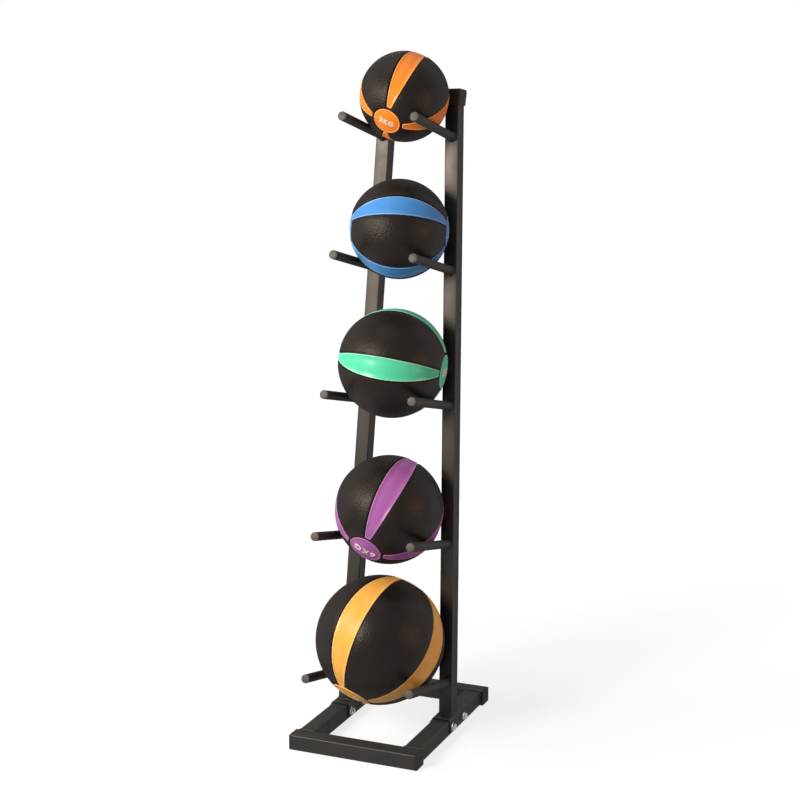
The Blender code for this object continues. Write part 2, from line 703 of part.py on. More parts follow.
def build_shell(name, ball, centre_empty):
    """The black rubber body: recessed for the colour bands, hollow inside and bored for the valve."""
    radius = ball.diameter / 2
    bm = band_surface(radius, DISC_ANGLE, STRIPE_WIDTH)
    recessed = band_faces(bm, DISC_ANGLE, STRIPE_WIDTH)
    sink_faces(bm, recessed, 1 - BAND_RECESS / radius)
    bmesh.ops.delete(bm, geom=recessed, context="FACES")
    shell = add_object(name + "_shell", bm, BALL_RUBBER, parent=centre_empty)
    cavity = bmesh.new()
    bmesh.ops.create_uvsphere(
        cavity, u_segments=CAVITY_SEGMENTS, v_segments=CAVITY_RINGS, radius=radius - ball.wall)
    hollow = add_object(name + "_cavity", cavity, BALL_RUBBER, parent=centre_empty, collection=CUTTERS)
    hide_cutter(hollow)
    cut(shell, hollow)
    outward = valve_direction(ball)
    gap = 2 * SEAT_GAP
    shoulder = radius - VALVE_HEAD_DEPTH - SEAT_GAP
    for part, diameter, start, end in (
        ("stem", VALVE_STEM_DIAMETER, (radius - ball.wall) / 2, radius),
        ("head", VALVE_HEAD_DIAMETER, shoulder, radius + VALVE_HEAD_DEPTH),
    ):
        bore_name = name + "_valve_" + part
        bore = cutter_cylinder(
            bore_name, diameter + gap, outward * start, outward * end, VALVE_SIDES, centre_empty)
        cut(shell, bore)
    shade_smooth(shell)


def valve_direction(ball):
    angle = 2 * math.pi / STRIPE_COUNT * (ball.valve_panel + 0.5)
    return Vector((math.cos(angle), math.sin(angle), 0))


def build_bands(name, ball, centre_empty, material):
    """The coloured rubber: both discs and the stripes in one piece, lying in the shell's recess."""
    radius = ball.diameter / 2
    disc = DISC_ANGLE - BAND_SIDE_GAP / radius
    stripe = STRIPE_WIDTH - 2 * BAND_SIDE_GAP / (radius * math.sin(DISC_ANGLE))
    bm = band_surface(radius, disc, stripe)
    coloured = set(band_faces(bm, disc, stripe))
    bmesh.ops.delete(bm, geom=[face for face in bm.faces if face not in coloured], context="FACES")
    sink_faces(bm, bm.faces[:], 1 - (BAND_RECESS - SEAT_GAP) / radius)
    bands = add_object(name + "_bands", bm, material, parent=centre_empty)
    shade_smooth(bands)


def build_valve(name, ball, centre_empty):
    """A rubber valve plug whose head lies flush with the ball and whose stem reaches the cavity."""
    head = VALVE_HEAD_DIAMETER / 2
    stem = VALVE_STEM_DIAMETER / 2
    face = -ball.diameter / 2 * (1 - math.cos(2 * head / ball.diameter)) - 2 * SEAT_GAP
    profile = [
        (0, face), (head, face), (head, -VALVE_HEAD_DEPTH),
        (stem, -VALVE_HEAD_DEPTH), (stem, -ball.wall), (0, -ball.wall - stem),
    ]
    outward = valve_direction(ball)
    rotation = outward.to_track_quat("Z", "Y").to_matrix().to_4x4()
    frame = Matrix.Translation(outward * ball.diameter / 2) @ rotation
    turned(name + "_valve", profile, VALVE_SIDES, BLACK_PLASTIC, frame, centre_empty)


def build_ball(tier, ball, centre):
    name = "ball_" + tier
    colour = new_material(name + "_colour_rubber", ball.colour, 0.45)
    centre_empty = bpy.data.objects.new(name + "_centre", None)
    PARTS.objects.link(centre_empty)
    centre_empty.matrix_world = ball_frame(ball, centre)
    build_shell(name, ball, centre_empty)
    build_bands(name, ball, centre_empty, colour)
    build_valve(name, ball, centre_empty)


# The whole rack
def build_rack():
    side_tubes = build_base()
    build_end_plugs()
    frames = {side: upright_frame(sign) for side, sign in SIDES}
    for side, sign in SIDES:
        build_foot(side, sign, side_tubes[side])
        build_upright(side, frames[side])
        build_top_cap(side, frames[side])
        for number, height in enumerate(TIER_HEIGHTS, start=1):
            build_peg(str(number), side, frames[side], height)
    for number, (ball, height) in enumerate(zip(BALLS, TIER_HEIGHTS), start=1):
        centre = seat_ball(ball, height, frames["right"])
        build_ball(str(number), ball, centre)
        print("ball", number, "centre", [round(value, 5) for value in centre])


build_rack()
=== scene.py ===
"""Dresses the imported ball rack: coated tube, moulded plugs and caps, plated fasteners and rubber balls.

Lengths in the classes are in millimetres. +Z is up, -Y is the front and +X is the right-hand side seen from
the front; the origin is on the floor under the middle of the base. Tier 1 is the top tier.
"""

import json
import logging
import math
from collections.abc import Callable, Iterable
from dataclasses import dataclass, field
from enum import Enum

import bmesh
import bpy
from mathutils import Matrix, Vector

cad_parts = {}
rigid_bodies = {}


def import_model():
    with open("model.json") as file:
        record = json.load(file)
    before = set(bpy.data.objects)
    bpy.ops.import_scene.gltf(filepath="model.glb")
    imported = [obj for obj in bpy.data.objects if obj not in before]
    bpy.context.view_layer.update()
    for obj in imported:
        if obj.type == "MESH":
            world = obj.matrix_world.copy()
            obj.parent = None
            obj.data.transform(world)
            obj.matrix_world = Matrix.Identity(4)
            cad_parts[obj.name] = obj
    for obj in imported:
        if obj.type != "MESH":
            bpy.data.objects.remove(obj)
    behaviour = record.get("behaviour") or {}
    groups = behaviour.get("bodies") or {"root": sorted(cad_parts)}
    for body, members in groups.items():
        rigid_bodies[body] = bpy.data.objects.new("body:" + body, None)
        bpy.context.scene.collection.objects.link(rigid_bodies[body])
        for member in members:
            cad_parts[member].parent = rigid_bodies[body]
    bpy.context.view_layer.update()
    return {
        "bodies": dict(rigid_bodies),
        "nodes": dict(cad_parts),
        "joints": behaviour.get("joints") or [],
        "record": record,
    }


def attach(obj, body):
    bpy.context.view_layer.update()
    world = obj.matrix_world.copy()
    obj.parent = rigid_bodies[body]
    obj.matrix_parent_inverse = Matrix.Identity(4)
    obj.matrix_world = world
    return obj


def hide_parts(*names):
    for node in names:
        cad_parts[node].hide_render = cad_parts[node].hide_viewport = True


LOG = logging.getLogger("ball_rack")
MM = 0.001
FULL_TURN = 2 * math.pi
EDGES = bmesh.types.BMEdge
VERTS = bmesh.types.BMVert

# Vertices closer than this are merged, mm
SAME_PLACE = 0.002

# Heights that differ by less than this count as level, m
LEVEL = MM / 10

# The vertex attribute that is 1 on the crest of a ball's bead, where a paler colour is painted on as a
# highlight
BEAD_HIGHLIGHT = "bead_highlight"


class Side(Enum):
    """A side of the rack seen from the front, with the sign of its X."""

    LEFT = -1
    RIGHT = 1

    @property
    def word(self) -> str:
        """The side's name as it is used in node names."""
        return self.name.lower()


# Finishes

def srgb(hex_colour: str) -> tuple[float, float, float, float]:
    """Turns an sRGB hex colour into linear RGBA.

    Args:
        hex_colour: Six hex digits.

    Returns:
        The linear colour with full alpha.
    """
    channels = [int(hex_colour[i:i + 2], 16) / 255 for i in (0, 2, 4)]
    linear = [c / 12.92 if c <= 0.04045 else ((c + 0.055) / 1.055) ** 2.4 for c in channels]
    return (*linear, 1.0)


def add_node(
    tree: bpy.types.NodeTree,
    kind: str,
    inputs: dict | None = None,
    settings: dict | None = None,
) -> bpy.types.Node:
    """Adds a shader node with its settings, values and links.

    Args:
        tree: The material's node tree.
        kind: The node's type name.
        inputs: Socket name or number to a value, or to the output socket that feeds it.
        settings: The node's own properties.

    Returns:
        The new node.
    """
    node = tree.nodes.new(kind)
    for name, value in (settings or {}).items():
        setattr(node, name, value)
    for name, value in (inputs or {}).items():
        if isinstance(value, bpy.types.NodeSocket):
            tree.links.new(value, node.inputs[name])
        else:
            node.inputs[name].default_value = value
    return node


@dataclass(frozen=True)
class Finish:
    """A surface finish, made into a material once.

    Attributes:
        name: The material's name.
        slot: The record's material slot; not used.
        colour: The main colour, sRGB hex.
        tint: The colour of its lighter or darker patches, sRGB hex.
        roughness: Mean roughness.
        grain: Size of the surface grain, mm.
        relief: Height of the surface grain, mm.
        metallic: 1 for bare metal.
        patch: Size of the patches of uneven colour and gloss, mm.
        specular: Specular level; 0.5 is the reflectance that the default IOR gives.
        slant: Roughness added where the surface is seen at a slant, as its bumps then hide each other.
        swing: How much the patches change the roughness, up and down.
    """

    name: str
    slot: str
    colour: str
    tint: str
    roughness: float
    grain: float
    relief: float
    metallic: float = 0.0
    patch: float = 60.0
    specular: float = 0.5
    slant: float = 0.4
    swing: float = 0.04

    def material(self) -> bpy.types.Material:
        """Gives the finish's material, and builds it the first time.

        Returns:
            The material.
        """
        made = bpy.data.materials.get(self.name)
        if made is not None:
            return made
        made = bpy.data.materials.new(self.name)
        made.use_nodes = True
        tree = made.node_tree
        shader = tree.nodes["Principled BSDF"]
        shader.inputs["Metallic"].default_value = self.metallic
        shader.inputs["Specular IOR Level"].default_value = self.specular
        place = add_node(tree, "ShaderNodeTexCoord").outputs["Object"]
        self.dress(tree, shader, place)
        return made

    def scale(self, size: float) -> float:
        """The texture scale at which one cell is as large as a size in mm."""
        return 1 / (size * MM)

    def uneven(self, tree: bpy.types.NodeTree, place: bpy.types.NodeSocket) -> bpy.types.NodeSocket:
        """Soft patches from 0 to 1, for uneven colour and gloss.

        Args:
            tree: The material's node tree.
            place: The coordinates.

        Returns:
            The patches' value.
        """
        cloud = add_node(
            tree, "ShaderNodeTexNoise",
            {"Vector": place, "Scale": self.scale(self.patch), "Detail": 4.0, "Roughness": 0.6})
        spread = add_node(
            tree, "ShaderNodeMapRange",
            {"Value": cloud.outputs["Fac"], "From Min": 0.35, "From Max": 0.65})
        return spread.outputs["Result"]

    def grained(self, tree: bpy.types.NodeTree, place: bpy.types.NodeSocket) -> bpy.types.NodeSocket:
        """Fine pits and bumps.

        Args:
            tree: The material's node tree.
            place: The coordinates.

        Returns:
            The grain's height from 0 to 1.
        """
        grain = add_node(
            tree, "ShaderNodeTexNoise",
            {"Vector": place, "Scale": self.scale(self.grain), "Detail": 2.0, "Roughness": 0.5})
        return grain.outputs["Fac"]

    def coloured(self, tree: bpy.types.NodeTree, patches: bpy.types.NodeSocket) -> bpy.types.NodeSocket:
        """The surface's colour.

        Args:
            tree: The material's node tree.
            patches: Soft patches from 0 to 1.

        Returns:
            The main colour with patches of the other.
        """
        return add_node(
            tree, "ShaderNodeMix",
            {"Factor": patches, 6: srgb(self.colour), 7: srgb(self.tint)},
            {"data_type": "RGBA"},
        ).outputs[2]

    def dress(
        self, tree: bpy.types.NodeTree, shader: bpy.types.Node, place: bpy.types.NodeSocket
    ) -> None:
        """Links uneven colour, uneven gloss and the surface grain to the shader.

        Args:
            tree: The material's node tree.
            shader: Its Principled BSDF.
            place: The coordinates.
        """
        patches = self.uneven(tree, place)
        grain = self.grained(tree, place)
        gloss = add_node(
            tree, "ShaderNodeMapRange",
            {"Value": patches, "To Min": self.roughness - self.swing,
             "To Max": self.roughness + self.swing})
        facing = add_node(tree, "ShaderNodeLayerWeight", {"Blend": 0.5}).outputs["Facing"]
        duller = add_node(
            tree, "ShaderNodeMapRange",
            {"Value": facing, "From Min": 0.25, "From Max": 0.85, "To Max": self.slant})
        spread = add_node(
            tree, "ShaderNodeMath", {0: gloss.outputs["Result"], 1: duller.outputs["Result"]},
            {"operation": "ADD"})
        bump = add_node(
            tree, "ShaderNodeBump",
            {"Height": grain, "Distance": self.relief * MM, "Strength": 1.0})
        tree.links.new(self.coloured(tree, patches), shader.inputs["Base Color"])
        tree.links.new(spread.outputs[0], shader.inputs["Roughness"])
        tree.links.new(bump.outputs["Normal"], shader.inputs["Normal"])


@dataclass(frozen=True)
class MouldedBallRubber(Finish):
    """Rubber moulded against an etched tool: rounded pebbles with fine valleys between them.

    The real pebbles are under 1 mm; they are drawn coarser so that they show at the photograph's distance.
    """

    def grained(self, tree: bpy.types.NodeTree, place: bpy.types.NodeSocket) -> bpy.types.NodeSocket:
        """Pebbles that stand up from the valleys between them.

        Args:
            tree: The material's node tree.
            place: The coordinates.

        Returns:
            The grain's height from 0 to 1.
        """
        pebbles = add_node(
            tree, "ShaderNodeTexVoronoi",
            {"Vector": place, "Scale": self.scale(self.grain), "Randomness": 0.9},
            {"feature": "SMOOTH_F1"})
        return add_node(
            tree, "ShaderNodeMapRange",
            {"Value": pebbles.outputs["Distance"], "From Max": 0.7, "To Min": 1.0, "To Max": 0.0},
        ).outputs["Result"]


@dataclass(frozen=True)
class BeadedBallRubber(Finish):
    """Smooth coloured rubber, glossier than the black, whose raised beads carry a painted highlight: a
    paler colour on their crests.

    Attributes:
        bead_highlight: The paler colour painted on the beads' crests as a highlight, sRGB hex.
    """

    # A paler colour painted on the beads' crests as a highlight
    bead_highlight: str = "FFFFFF"

    def coloured(self, tree: bpy.types.NodeTree, patches: bpy.types.NodeSocket) -> bpy.types.NodeSocket:
        """The surface's colour.

        Args:
            tree: The material's node tree.
            patches: Soft patches from 0 to 1.

        Returns:
            The rubber's colour, with a painted highlight that makes the beads' crests paler.
        """
        # Painted highlight: the beads' crests are mixed towards a paler colour
        painted_highlight = add_node(tree, "ShaderNodeAttribute", settings={"attribute_name": BEAD_HIGHLIGHT}).outputs["Fac"]
        return add_node(
            tree, "ShaderNodeMix",
            {"Factor": painted_highlight, 6: super().coloured(tree, patches), 7: srgb(self.bead_highlight)},
            {"data_type": "RGBA"},
        ).outputs[2]


# Satin black polyester powder coat, sprayed and baked: a soft, slightly warm sheen over orange peel, which
# is drawn coarser than real so that it shows at the photograph's distance
POWDER_COAT = Finish(
    "satin_black_powder_coat", "black_powder_coat", colour="12100D", tint="191613", roughness=0.4,
    grain=2.4, relief=0.03, specular=0.42, slant=0.6)
# Weld bead under the same coat: glossier on its ripples
COATED_WELD = Finish(
    "coated_weld_bead", "black_powder_coat", colour="12100D", tint="191613", roughness=0.36,
    grain=1.4, relief=0.05, specular=0.42, slant=0.6)
# Injection-moulded black polyethylene: matt, a little lighter where it is handled
BLACK_PLUG = Finish(
    "moulded_black_polyethylene", "black_plastic", colour="161513", tint="1E1D1B", roughness=0.5,
    grain=0.9, relief=0.02, patch=25.0, specular=0.25)
# Dip-moulded black PVC of the caps: soft sheen on rounded edges
CAP_VINYL = Finish(
    "dipped_black_vinyl", "cap_rubber", colour="15120F", tint="1C1916", roughness=0.45,
    grain=1.6, relief=0.02, patch=30.0, specular=0.25)
# Injection-moulded grey polyethylene of the peg plugs: spark-eroded grain
GREY_PLUG = Finish(
    "moulded_grey_polyethylene", "peg_plug_plastic", colour="4A4B4D", tint="565758", roughness=0.52,
    grain=0.8, relief=0.02, patch=14.0, specular=0.3)
# Bright zinc electroplate on steel: silvery with faint cloudy patches
ZINC_PLATE = Finish(
    "bright_zinc_plate", "zinc_plated_steel", colour="B9B8B3", tint="97968F", roughness=0.24,
    metallic=1.0, grain=0.7, relief=0.01, patch=9.0, slant=0.0)
# Black natural rubber of the balls, matt and pebbled
BLACK_RUBBER = MouldedBallRubber(
    "pebbled_black_rubber", "black_ball_rubber", colour="110C08", tint="19130E", roughness=0.38,
    grain=3.0, relief=0.45, specular=0.18, slant=0.5)
# White ink pad-printed on the discs; the record has no slot of its own for it
WHITE_INK = Finish(
    "pad_printed_white_ink", "black_plastic", colour="F6FAFF", tint="ECF1F6", roughness=0.5,
    grain=1.2, relief=0.01, patch=10.0)


class BallColour(Enum):
    """The coloured rubber of each ball: main, patch and painted bead highlight colours, sRGB hex."""

    # The third colour of each is a painted highlight on the beads' crests
    ORANGE = ("F7922A", "F08722", "FFB86A")
    BLUE = ("4696EA", "3E8EE2", "8CBCF4")
    GREEN = ("56E0BC", "4CD8B2", "AAEEDA")
    PURPLE = ("A666BA", "9C5CB0", "BE8ACA")
    YELLOW = ("F1BA56", "EBB04C", "FADC9E")

    def finish(self, tier: int) -> Finish:
        """The rubber of one ball.

        Args:
            tier: The ball's tier.

        Returns:
            The finish.
        """
        main, patches, bead_highlight = self.value
        return BeadedBallRubber(
            f"smooth_{self.name.lower()}_rubber", f"ball_{tier}_colour_rubber", main, patches,
            roughness=0.27, grain=2.2, relief=0.03, patch=45.0, specular=0.32, bead_highlight=bead_highlight)


# Mesh helpers

def all_geometry(bm: bmesh.types.BMesh) -> list:
    """Every vertex, edge and face of a bmesh."""
    return bm.verts[:] + bm.edges[:] + bm.faces[:]


def only(kind: type, items: Iterable) -> list:
    """The items of one bmesh type."""
    return [item for item in items if isinstance(item, kind)]


def edges_where(bm: bmesh.types.BMesh, test: Callable[[Vector, Vector], bool]) -> list:
    """Edges whose two ends pass a test.

    Args:
        bm: The bmesh.
        test: Takes the two ends' places.

    Returns:
        The edges.
    """
    return [edge for edge in bm.edges if test(edge.verts[0].co, edge.verts[1].co)]


def rising_edges(bm: bmesh.types.BMesh) -> list:
    """Edges that climb by more than a millimetre along local Z."""
    return edges_where(bm, lambda a, b: abs(a.z - b.z) > MM)


def soften(bm: bmesh.types.BMesh, edges: list, radius: float, segments: int) -> None:
    """Rounds edges off.

    Args:
        bm: The bmesh.
        edges: The edges to round.
        radius: The rounding, mm.
        segments: Facets across it.
    """
    bmesh.ops.bevel(
        bm, geom=edges, offset=radius * MM, offset_type="OFFSET", segments=segments, profile=0.5,
        affect="EDGES", clamp_overlap=True, material=-1)


def sharp_edges(bm: bmesh.types.BMesh, angle: float) -> list:
    """Edges that turn by more than an angle in degrees."""
    return [edge for edge in bm.edges if edge.calc_face_angle(0.0) > math.radians(angle)]


def block(size: tuple, centre: tuple) -> bmesh.types.BMesh:
    """A box.

    Args:
        size: Its three sides, mm.
        centre: Its centre, mm.

    Returns:
        The bmesh.
    """
    bm = bmesh.new()
    bmesh.ops.create_cube(bm, size=1.0)
    bmesh.ops.scale(bm, vec=Vector(size) * MM, verts=bm.verts)
    bmesh.ops.translate(bm, vec=Vector(centre) * MM, verts=bm.verts)
    return bm


def turned(profile: list[tuple[float, float]], steps: int) -> bmesh.types.BMesh:
    """A solid turned about local Z.

    Args:
        profile: Radius and height of each point, mm, from the top on the axis to the bottom on the axis.
        steps: Facets round it.

    Returns:
        The bmesh.
    """
    bm = bmesh.new()
    points = [bm.verts.new((radius * MM, 0.0, height * MM)) for radius, height in profile]
    edges = [bm.edges.new(pair) for pair in zip(points, points[1:])]
    bmesh.ops.spin(
        bm, geom=points + edges, cent=(0, 0, 0), axis=(0, 0, 1), angle=FULL_TURN, steps=steps,
        use_merge=True)
    bmesh.ops.remove_doubles(bm, verts=bm.verts, dist=SAME_PLACE * MM)
    bmesh.ops.recalc_face_normals(bm, faces=bm.faces)
    return bm


def bent_path(points: list[tuple], radius: float, segments: int) -> bmesh.types.BMesh:
    """A row of edges with its corners rounded.

    Args:
        points: Its two ends and the corners between them in order, mm.
        radius: How far the rounding of a corner reaches, mm.
        segments: Edges round a corner.

    Returns:
        The bmesh.
    """
    bm = bmesh.new()
    path = [bm.verts.new([length * MM for length in point]) for point in points]
    for pair in zip(path, path[1:]):
        bm.edges.new(pair)
    bmesh.ops.bevel(
        bm, geom=path[1:-1], offset=radius * MM, offset_type="OFFSET", segments=segments, profile=0.5,
        affect="VERTICES", clamp_overlap=True, material=-1)
    return bm


def hollow(bm: bmesh.types.BMesh, face: bmesh.types.BMFace, wall: float, reach: float) -> None:
    """Sinks a pocket into a face and leaves a wall round it.

    Args:
        bm: The bmesh.
        face: The face that is opened.
        wall: Thickness of the wall, mm.
        reach: How far the pocket's floor moves along local Z, mm.
    """
    bmesh.ops.inset_individual(bm, faces=[face], thickness=wall * MM, use_even_offset=True)
    sunk = bmesh.ops.extrude_face_region(bm, geom=[face])["geom"]
    bmesh.ops.delete(bm, geom=[face], context="FACES_ONLY")
    bmesh.ops.translate(bm, vec=(0, 0, reach * MM), verts=only(VERTS, sunk))


def join(bm: bmesh.types.BMesh, other: bmesh.types.BMesh) -> None:
    """Adds one bmesh to another and frees it.

    Args:
        bm: The bmesh that grows.
        other: The one that is added.
    """
    mesh = bpy.data.meshes.new("joined")
    other.to_mesh(mesh)
    other.free()
    bm.from_mesh(mesh)
    bpy.data.meshes.remove(mesh)


def add_piece(
    name: str,
    bm: bmesh.types.BMesh,
    finish: Finish,
    body: str,
    nodes: Iterable[str] = (),
    place: Matrix | None = None,
    smooth_below: float = 40.0,
) -> None:
    """Makes a bmesh a piece of the scene, with its place in its mesh, riding on a CAD body.

    Args:
        name: The piece's name.
        bm: The bmesh, in local metres; it is freed.
        finish: Its finish.
        body: The CAD body that it rides on.
        nodes: The CAD nodes that it stands for.
        place: Where it goes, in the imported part's frame.
        smooth_below: Edges that turn by less than this many degrees are shaded smooth.
    """
    if place is not None:
        bmesh.ops.transform(bm, matrix=place, verts=bm.verts)
    bmesh.ops.recalc_face_normals(bm, faces=bm.faces)
    mesh = bpy.data.meshes.new(name)
    bm.to_mesh(mesh)
    bm.free()
    mesh.materials.append(finish.material())
    mesh.shade_smooth()
    mesh.set_sharp_from_angle(angle=math.radians(smooth_below))
    piece = bpy.data.objects.new(name, mesh)
    bpy.context.scene.collection.objects.link(piece)
    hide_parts(*nodes)
    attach(piece, body)
    LOG.info("%s: %d faces on %s", name, len(mesh.polygons), body)


def axes_at(x: Vector, y: Vector, z: Vector, origin: Vector | tuple) -> Matrix:
    """A frame with the given axes, its origin in mm."""
    turn = Matrix((x, y, z)).transposed().to_4x4()
    return Matrix.Translation(Vector(origin) * MM) @ turn


# Sub-assemblies

@dataclass
class Tube:
    """Rectangular steel tube: rounded corners and open ends.

    Attributes:
        width: Outer size across local X, mm.
        height: Outer size across local Y, mm.
        wall: Wall thickness, mm.
        corner: Outer corner radius, mm.
        pocket: How far the bore is modelled in from an open end, mm.
    """

    width: float
    height: float
    wall: float
    corner: float
    pocket: float = 22.0

    def solid(self, start: float, end: float) -> bmesh.types.BMesh:
        """The tube's outer form along local Z.

        Args:
            start: Height of its lower end, mm.
            end: Height of its upper end, mm.

        Returns:
            The bmesh, with plain ends.
        """
        bm = block((self.width, self.height, end - start), (0, 0, (start + end) / 2))
        soften(bm, rising_edges(bm), self.corner, segments=5)
        return bm

    def open_end(self, bm: bmesh.types.BMesh, direction: int) -> None:
        """Sinks the bore into one end.

        Args:
            bm: The tube.
            direction: 1 for the upper end, -1 for the lower.
        """
        cap = max(bm.faces, key=lambda face: face.normal.z * direction * face.calc_area())
        hollow(bm, cap, self.wall, -direction * self.pocket)


@dataclass
class BaseFrame:
    """The welded base: two cross tubes, two side tubes between them, and four end plugs.

    Attributes:
        depth: Overall size front to back, mm.
        width: Size across the side tubes, mm.
        overhang: How far the cross tubes pass the side tubes, mm.
        plug_flange: Thickness of a plug's flange, mm.
        plug_edge: Rounding of the flange's rim, mm.
        plug_stem: Length of a plug's stem, mm.
        gap: Gap between seated pieces, mm.
        bead: Radius of the weld beads, mm.
        tube: The tube's section.
    """

    depth: float = 435.0
    width: float = 281.0
    overhang: float = 2.0
    plug_flange: float = 5.0
    plug_edge: float = 2.2
    plug_stem: float = 18.0
    gap: float = 0.3
    bead: float = 1.7
    tube: Tube = field(default_factory=lambda: Tube(38.0, 34.0, 2.0, 3.0))

    @property
    def side_x(self) -> float:
        """X of a side tube's centre line, mm."""
        return (self.width - self.tube.width) / 2

    @property
    def cross_y(self) -> float:
        """Y of the rear cross tube's centre line, mm."""
        return (self.depth - self.tube.width) / 2

    def lying(self, along: Vector, centre: tuple) -> Matrix:
        """A frame with local Z along a lying tube and local Y up.

        Args:
            along: The tube's direction.
            centre: Its centre, mm.

        Returns:
            The frame.
        """
        up = Vector((0, 0, 1))
        return axes_at(up.cross(along), up, along, centre)

    def build(self) -> None:
        """Builds the tubes, plugs and weld beads."""
        middle = self.tube.height / 2
        half = self.width / 2 + self.overhang
        for word, y in (("front", -self.cross_y), ("rear", self.cross_y)):
            cross = self.tube.solid(-half, half)
            self.tube.open_end(cross, 1)
            self.tube.open_end(cross, -1)
            add_piece(f"cross_tube_{word}", cross, POWDER_COAT, "rack", [f"base_{word}_tube"],
                      self.lying(Vector((1, 0, 0)), (0, y, middle)))
            for side in Side:
                out = self.lying(Vector((side.value, 0, 0)), (side.value * (half + self.gap), y, middle))
                add_piece(f"tube_end_plug_{word}_{side.word}", self.end_plug(), BLACK_PLUG, "rack",
                          [f"end_plug_{word}_{side.word}"], out)
        run = self.cross_y - self.tube.width / 2 - self.gap
        for side in Side:
            add_piece(f"side_tube_{side.word}", self.tube.solid(-run, run), POWDER_COAT, "rack",
                      [f"base_side_tube_{side.word}"],
                      self.lying(Vector((0, 1, 0)), (side.value * self.side_x, 0, middle)))
            for word, end in (("front", -1), ("rear", 1)):
                seam_y = end * (run + self.gap / 2)
                add_piece(f"frame_weld_{word}_{side.word}", self.seam(), COATED_WELD, "rack", (),
                          self.lying(Vector((0, end, 0)), (side.value * self.side_x, seam_y, middle)))

    def end_plug(self) -> bmesh.types.BMesh:
        """A plug with a rounded flange and a stem.

        Returns:
            The bmesh, local Z out of the tube.
        """
        bm = block((self.tube.width, self.tube.height, self.plug_flange), (0, 0, self.plug_flange / 2))
        soften(bm, rising_edges(bm), self.tube.corner, segments=5)
        rim = self.plug_flange * MM - LEVEL
        soften(bm, edges_where(bm, lambda a, b: min(a.z, b.z) > rim), self.plug_edge, segments=4)
        inner = 2 * (self.tube.wall + self.gap)
        sides = (self.tube.width - inner, self.tube.height - inner, self.plug_stem)
        join(bm, block(sides, (0, 0, -self.plug_stem / 2)))
        return bm

    def seam(self) -> bmesh.types.BMesh:
        """A weld bead along the top and down both sides of a butt joint.

        Returns:
            The bmesh, in the joint's plane.
        """
        half_x = self.tube.width / 2
        half_y = self.tube.height / 2
        start_y = self.tube.corner - half_y
        corners = [(half_x, start_y), (half_x, half_y), (-half_x, half_y), (-half_x, start_y)]
        path = bent_path([(x, y, 0) for x, y in corners], self.tube.corner, segments=5)
        return rippled_bead(path, self.bead, closed=False)


def rippled_bead(
    path: bmesh.types.BMesh,
    radius: float,
    closed: bool,
    dab: float = 3.2,
    swell: float = 0.14,
) -> bmesh.types.BMesh:
    """Turns a row of edges into a weld bead that swells with each dab of the weld.

    Args:
        path: The row of edges; it is freed.
        radius: The bead's radius, mm.
        closed: Whether the row closes on itself.
        dab: Length of a dab, mm.
        swell: How much a dab adds to the radius or takes from it, as a share.

    Returns:
        The bead.
    """
    for edge in list(path.edges):
        cuts = int(edge.calc_length() / (dab / 4 * MM))
        if cuts:
            bmesh.ops.subdivide_edges(path, edges=[edge], cuts=cuts)
    places = path_order(path, closed)
    path.free()
    curve = bpy.data.curves.new("bead", "CURVE")
    curve.dimensions = "3D"
    curve.bevel_depth = radius * MM
    curve.bevel_resolution = 2
    curve.use_fill_caps = True
    spline = curve.splines.new("POLY")
    spline.points.add(len(places) - 1)
    spline.use_cyclic_u = closed
    travelled = 0.0
    for number, (point, place) in enumerate(zip(spline.points, places)):
        travelled += (place - places[max(number - 1, 0)]).length / MM
        point.co = (*place, 1.0)
        point.radius = 1 + swell * math.sin(FULL_TURN * travelled / dab)
    return bmesh_of_curve(curve)


def bmesh_of_curve(curve: bpy.types.Curve) -> bmesh.types.BMesh:
    """Makes a curve or text a bmesh and removes the curve.

    Args:
        curve: The curve or text.

    Returns:
        The bmesh, its doubles merged.
    """
    holder = bpy.data.objects.new("curve", curve)
    mesh = bpy.data.meshes.new_from_object(holder)
    bm = bmesh.new()
    bm.from_mesh(mesh)
    bpy.data.objects.remove(holder)
    bpy.data.curves.remove(curve)
    bpy.data.meshes.remove(mesh)
    bmesh.ops.remove_doubles(bm, verts=bm.verts, dist=SAME_PLACE * MM)
    return bm


def path_order(bm: bmesh.types.BMesh, closed: bool) -> list[Vector]:
    """The points of a single row of edges, in order.

    Args:
        bm: The path.
        closed: Whether it closes on itself.

    Returns:
        The points' places.
    """
    if closed:
        vert = bm.verts[:][0]
    else:
        vert = next(v for v in bm.verts if len(v.link_edges) == 1)
    points = [vert.co.copy()]
    used = set()
    while True:
        edge = next((e for e in vert.link_edges if e not in used), None)
        if edge is None:
            break
        used.add(edge)
        vert = edge.other_vert(vert)
        points.append(vert.co.copy())
    return points[:-1] if closed else points


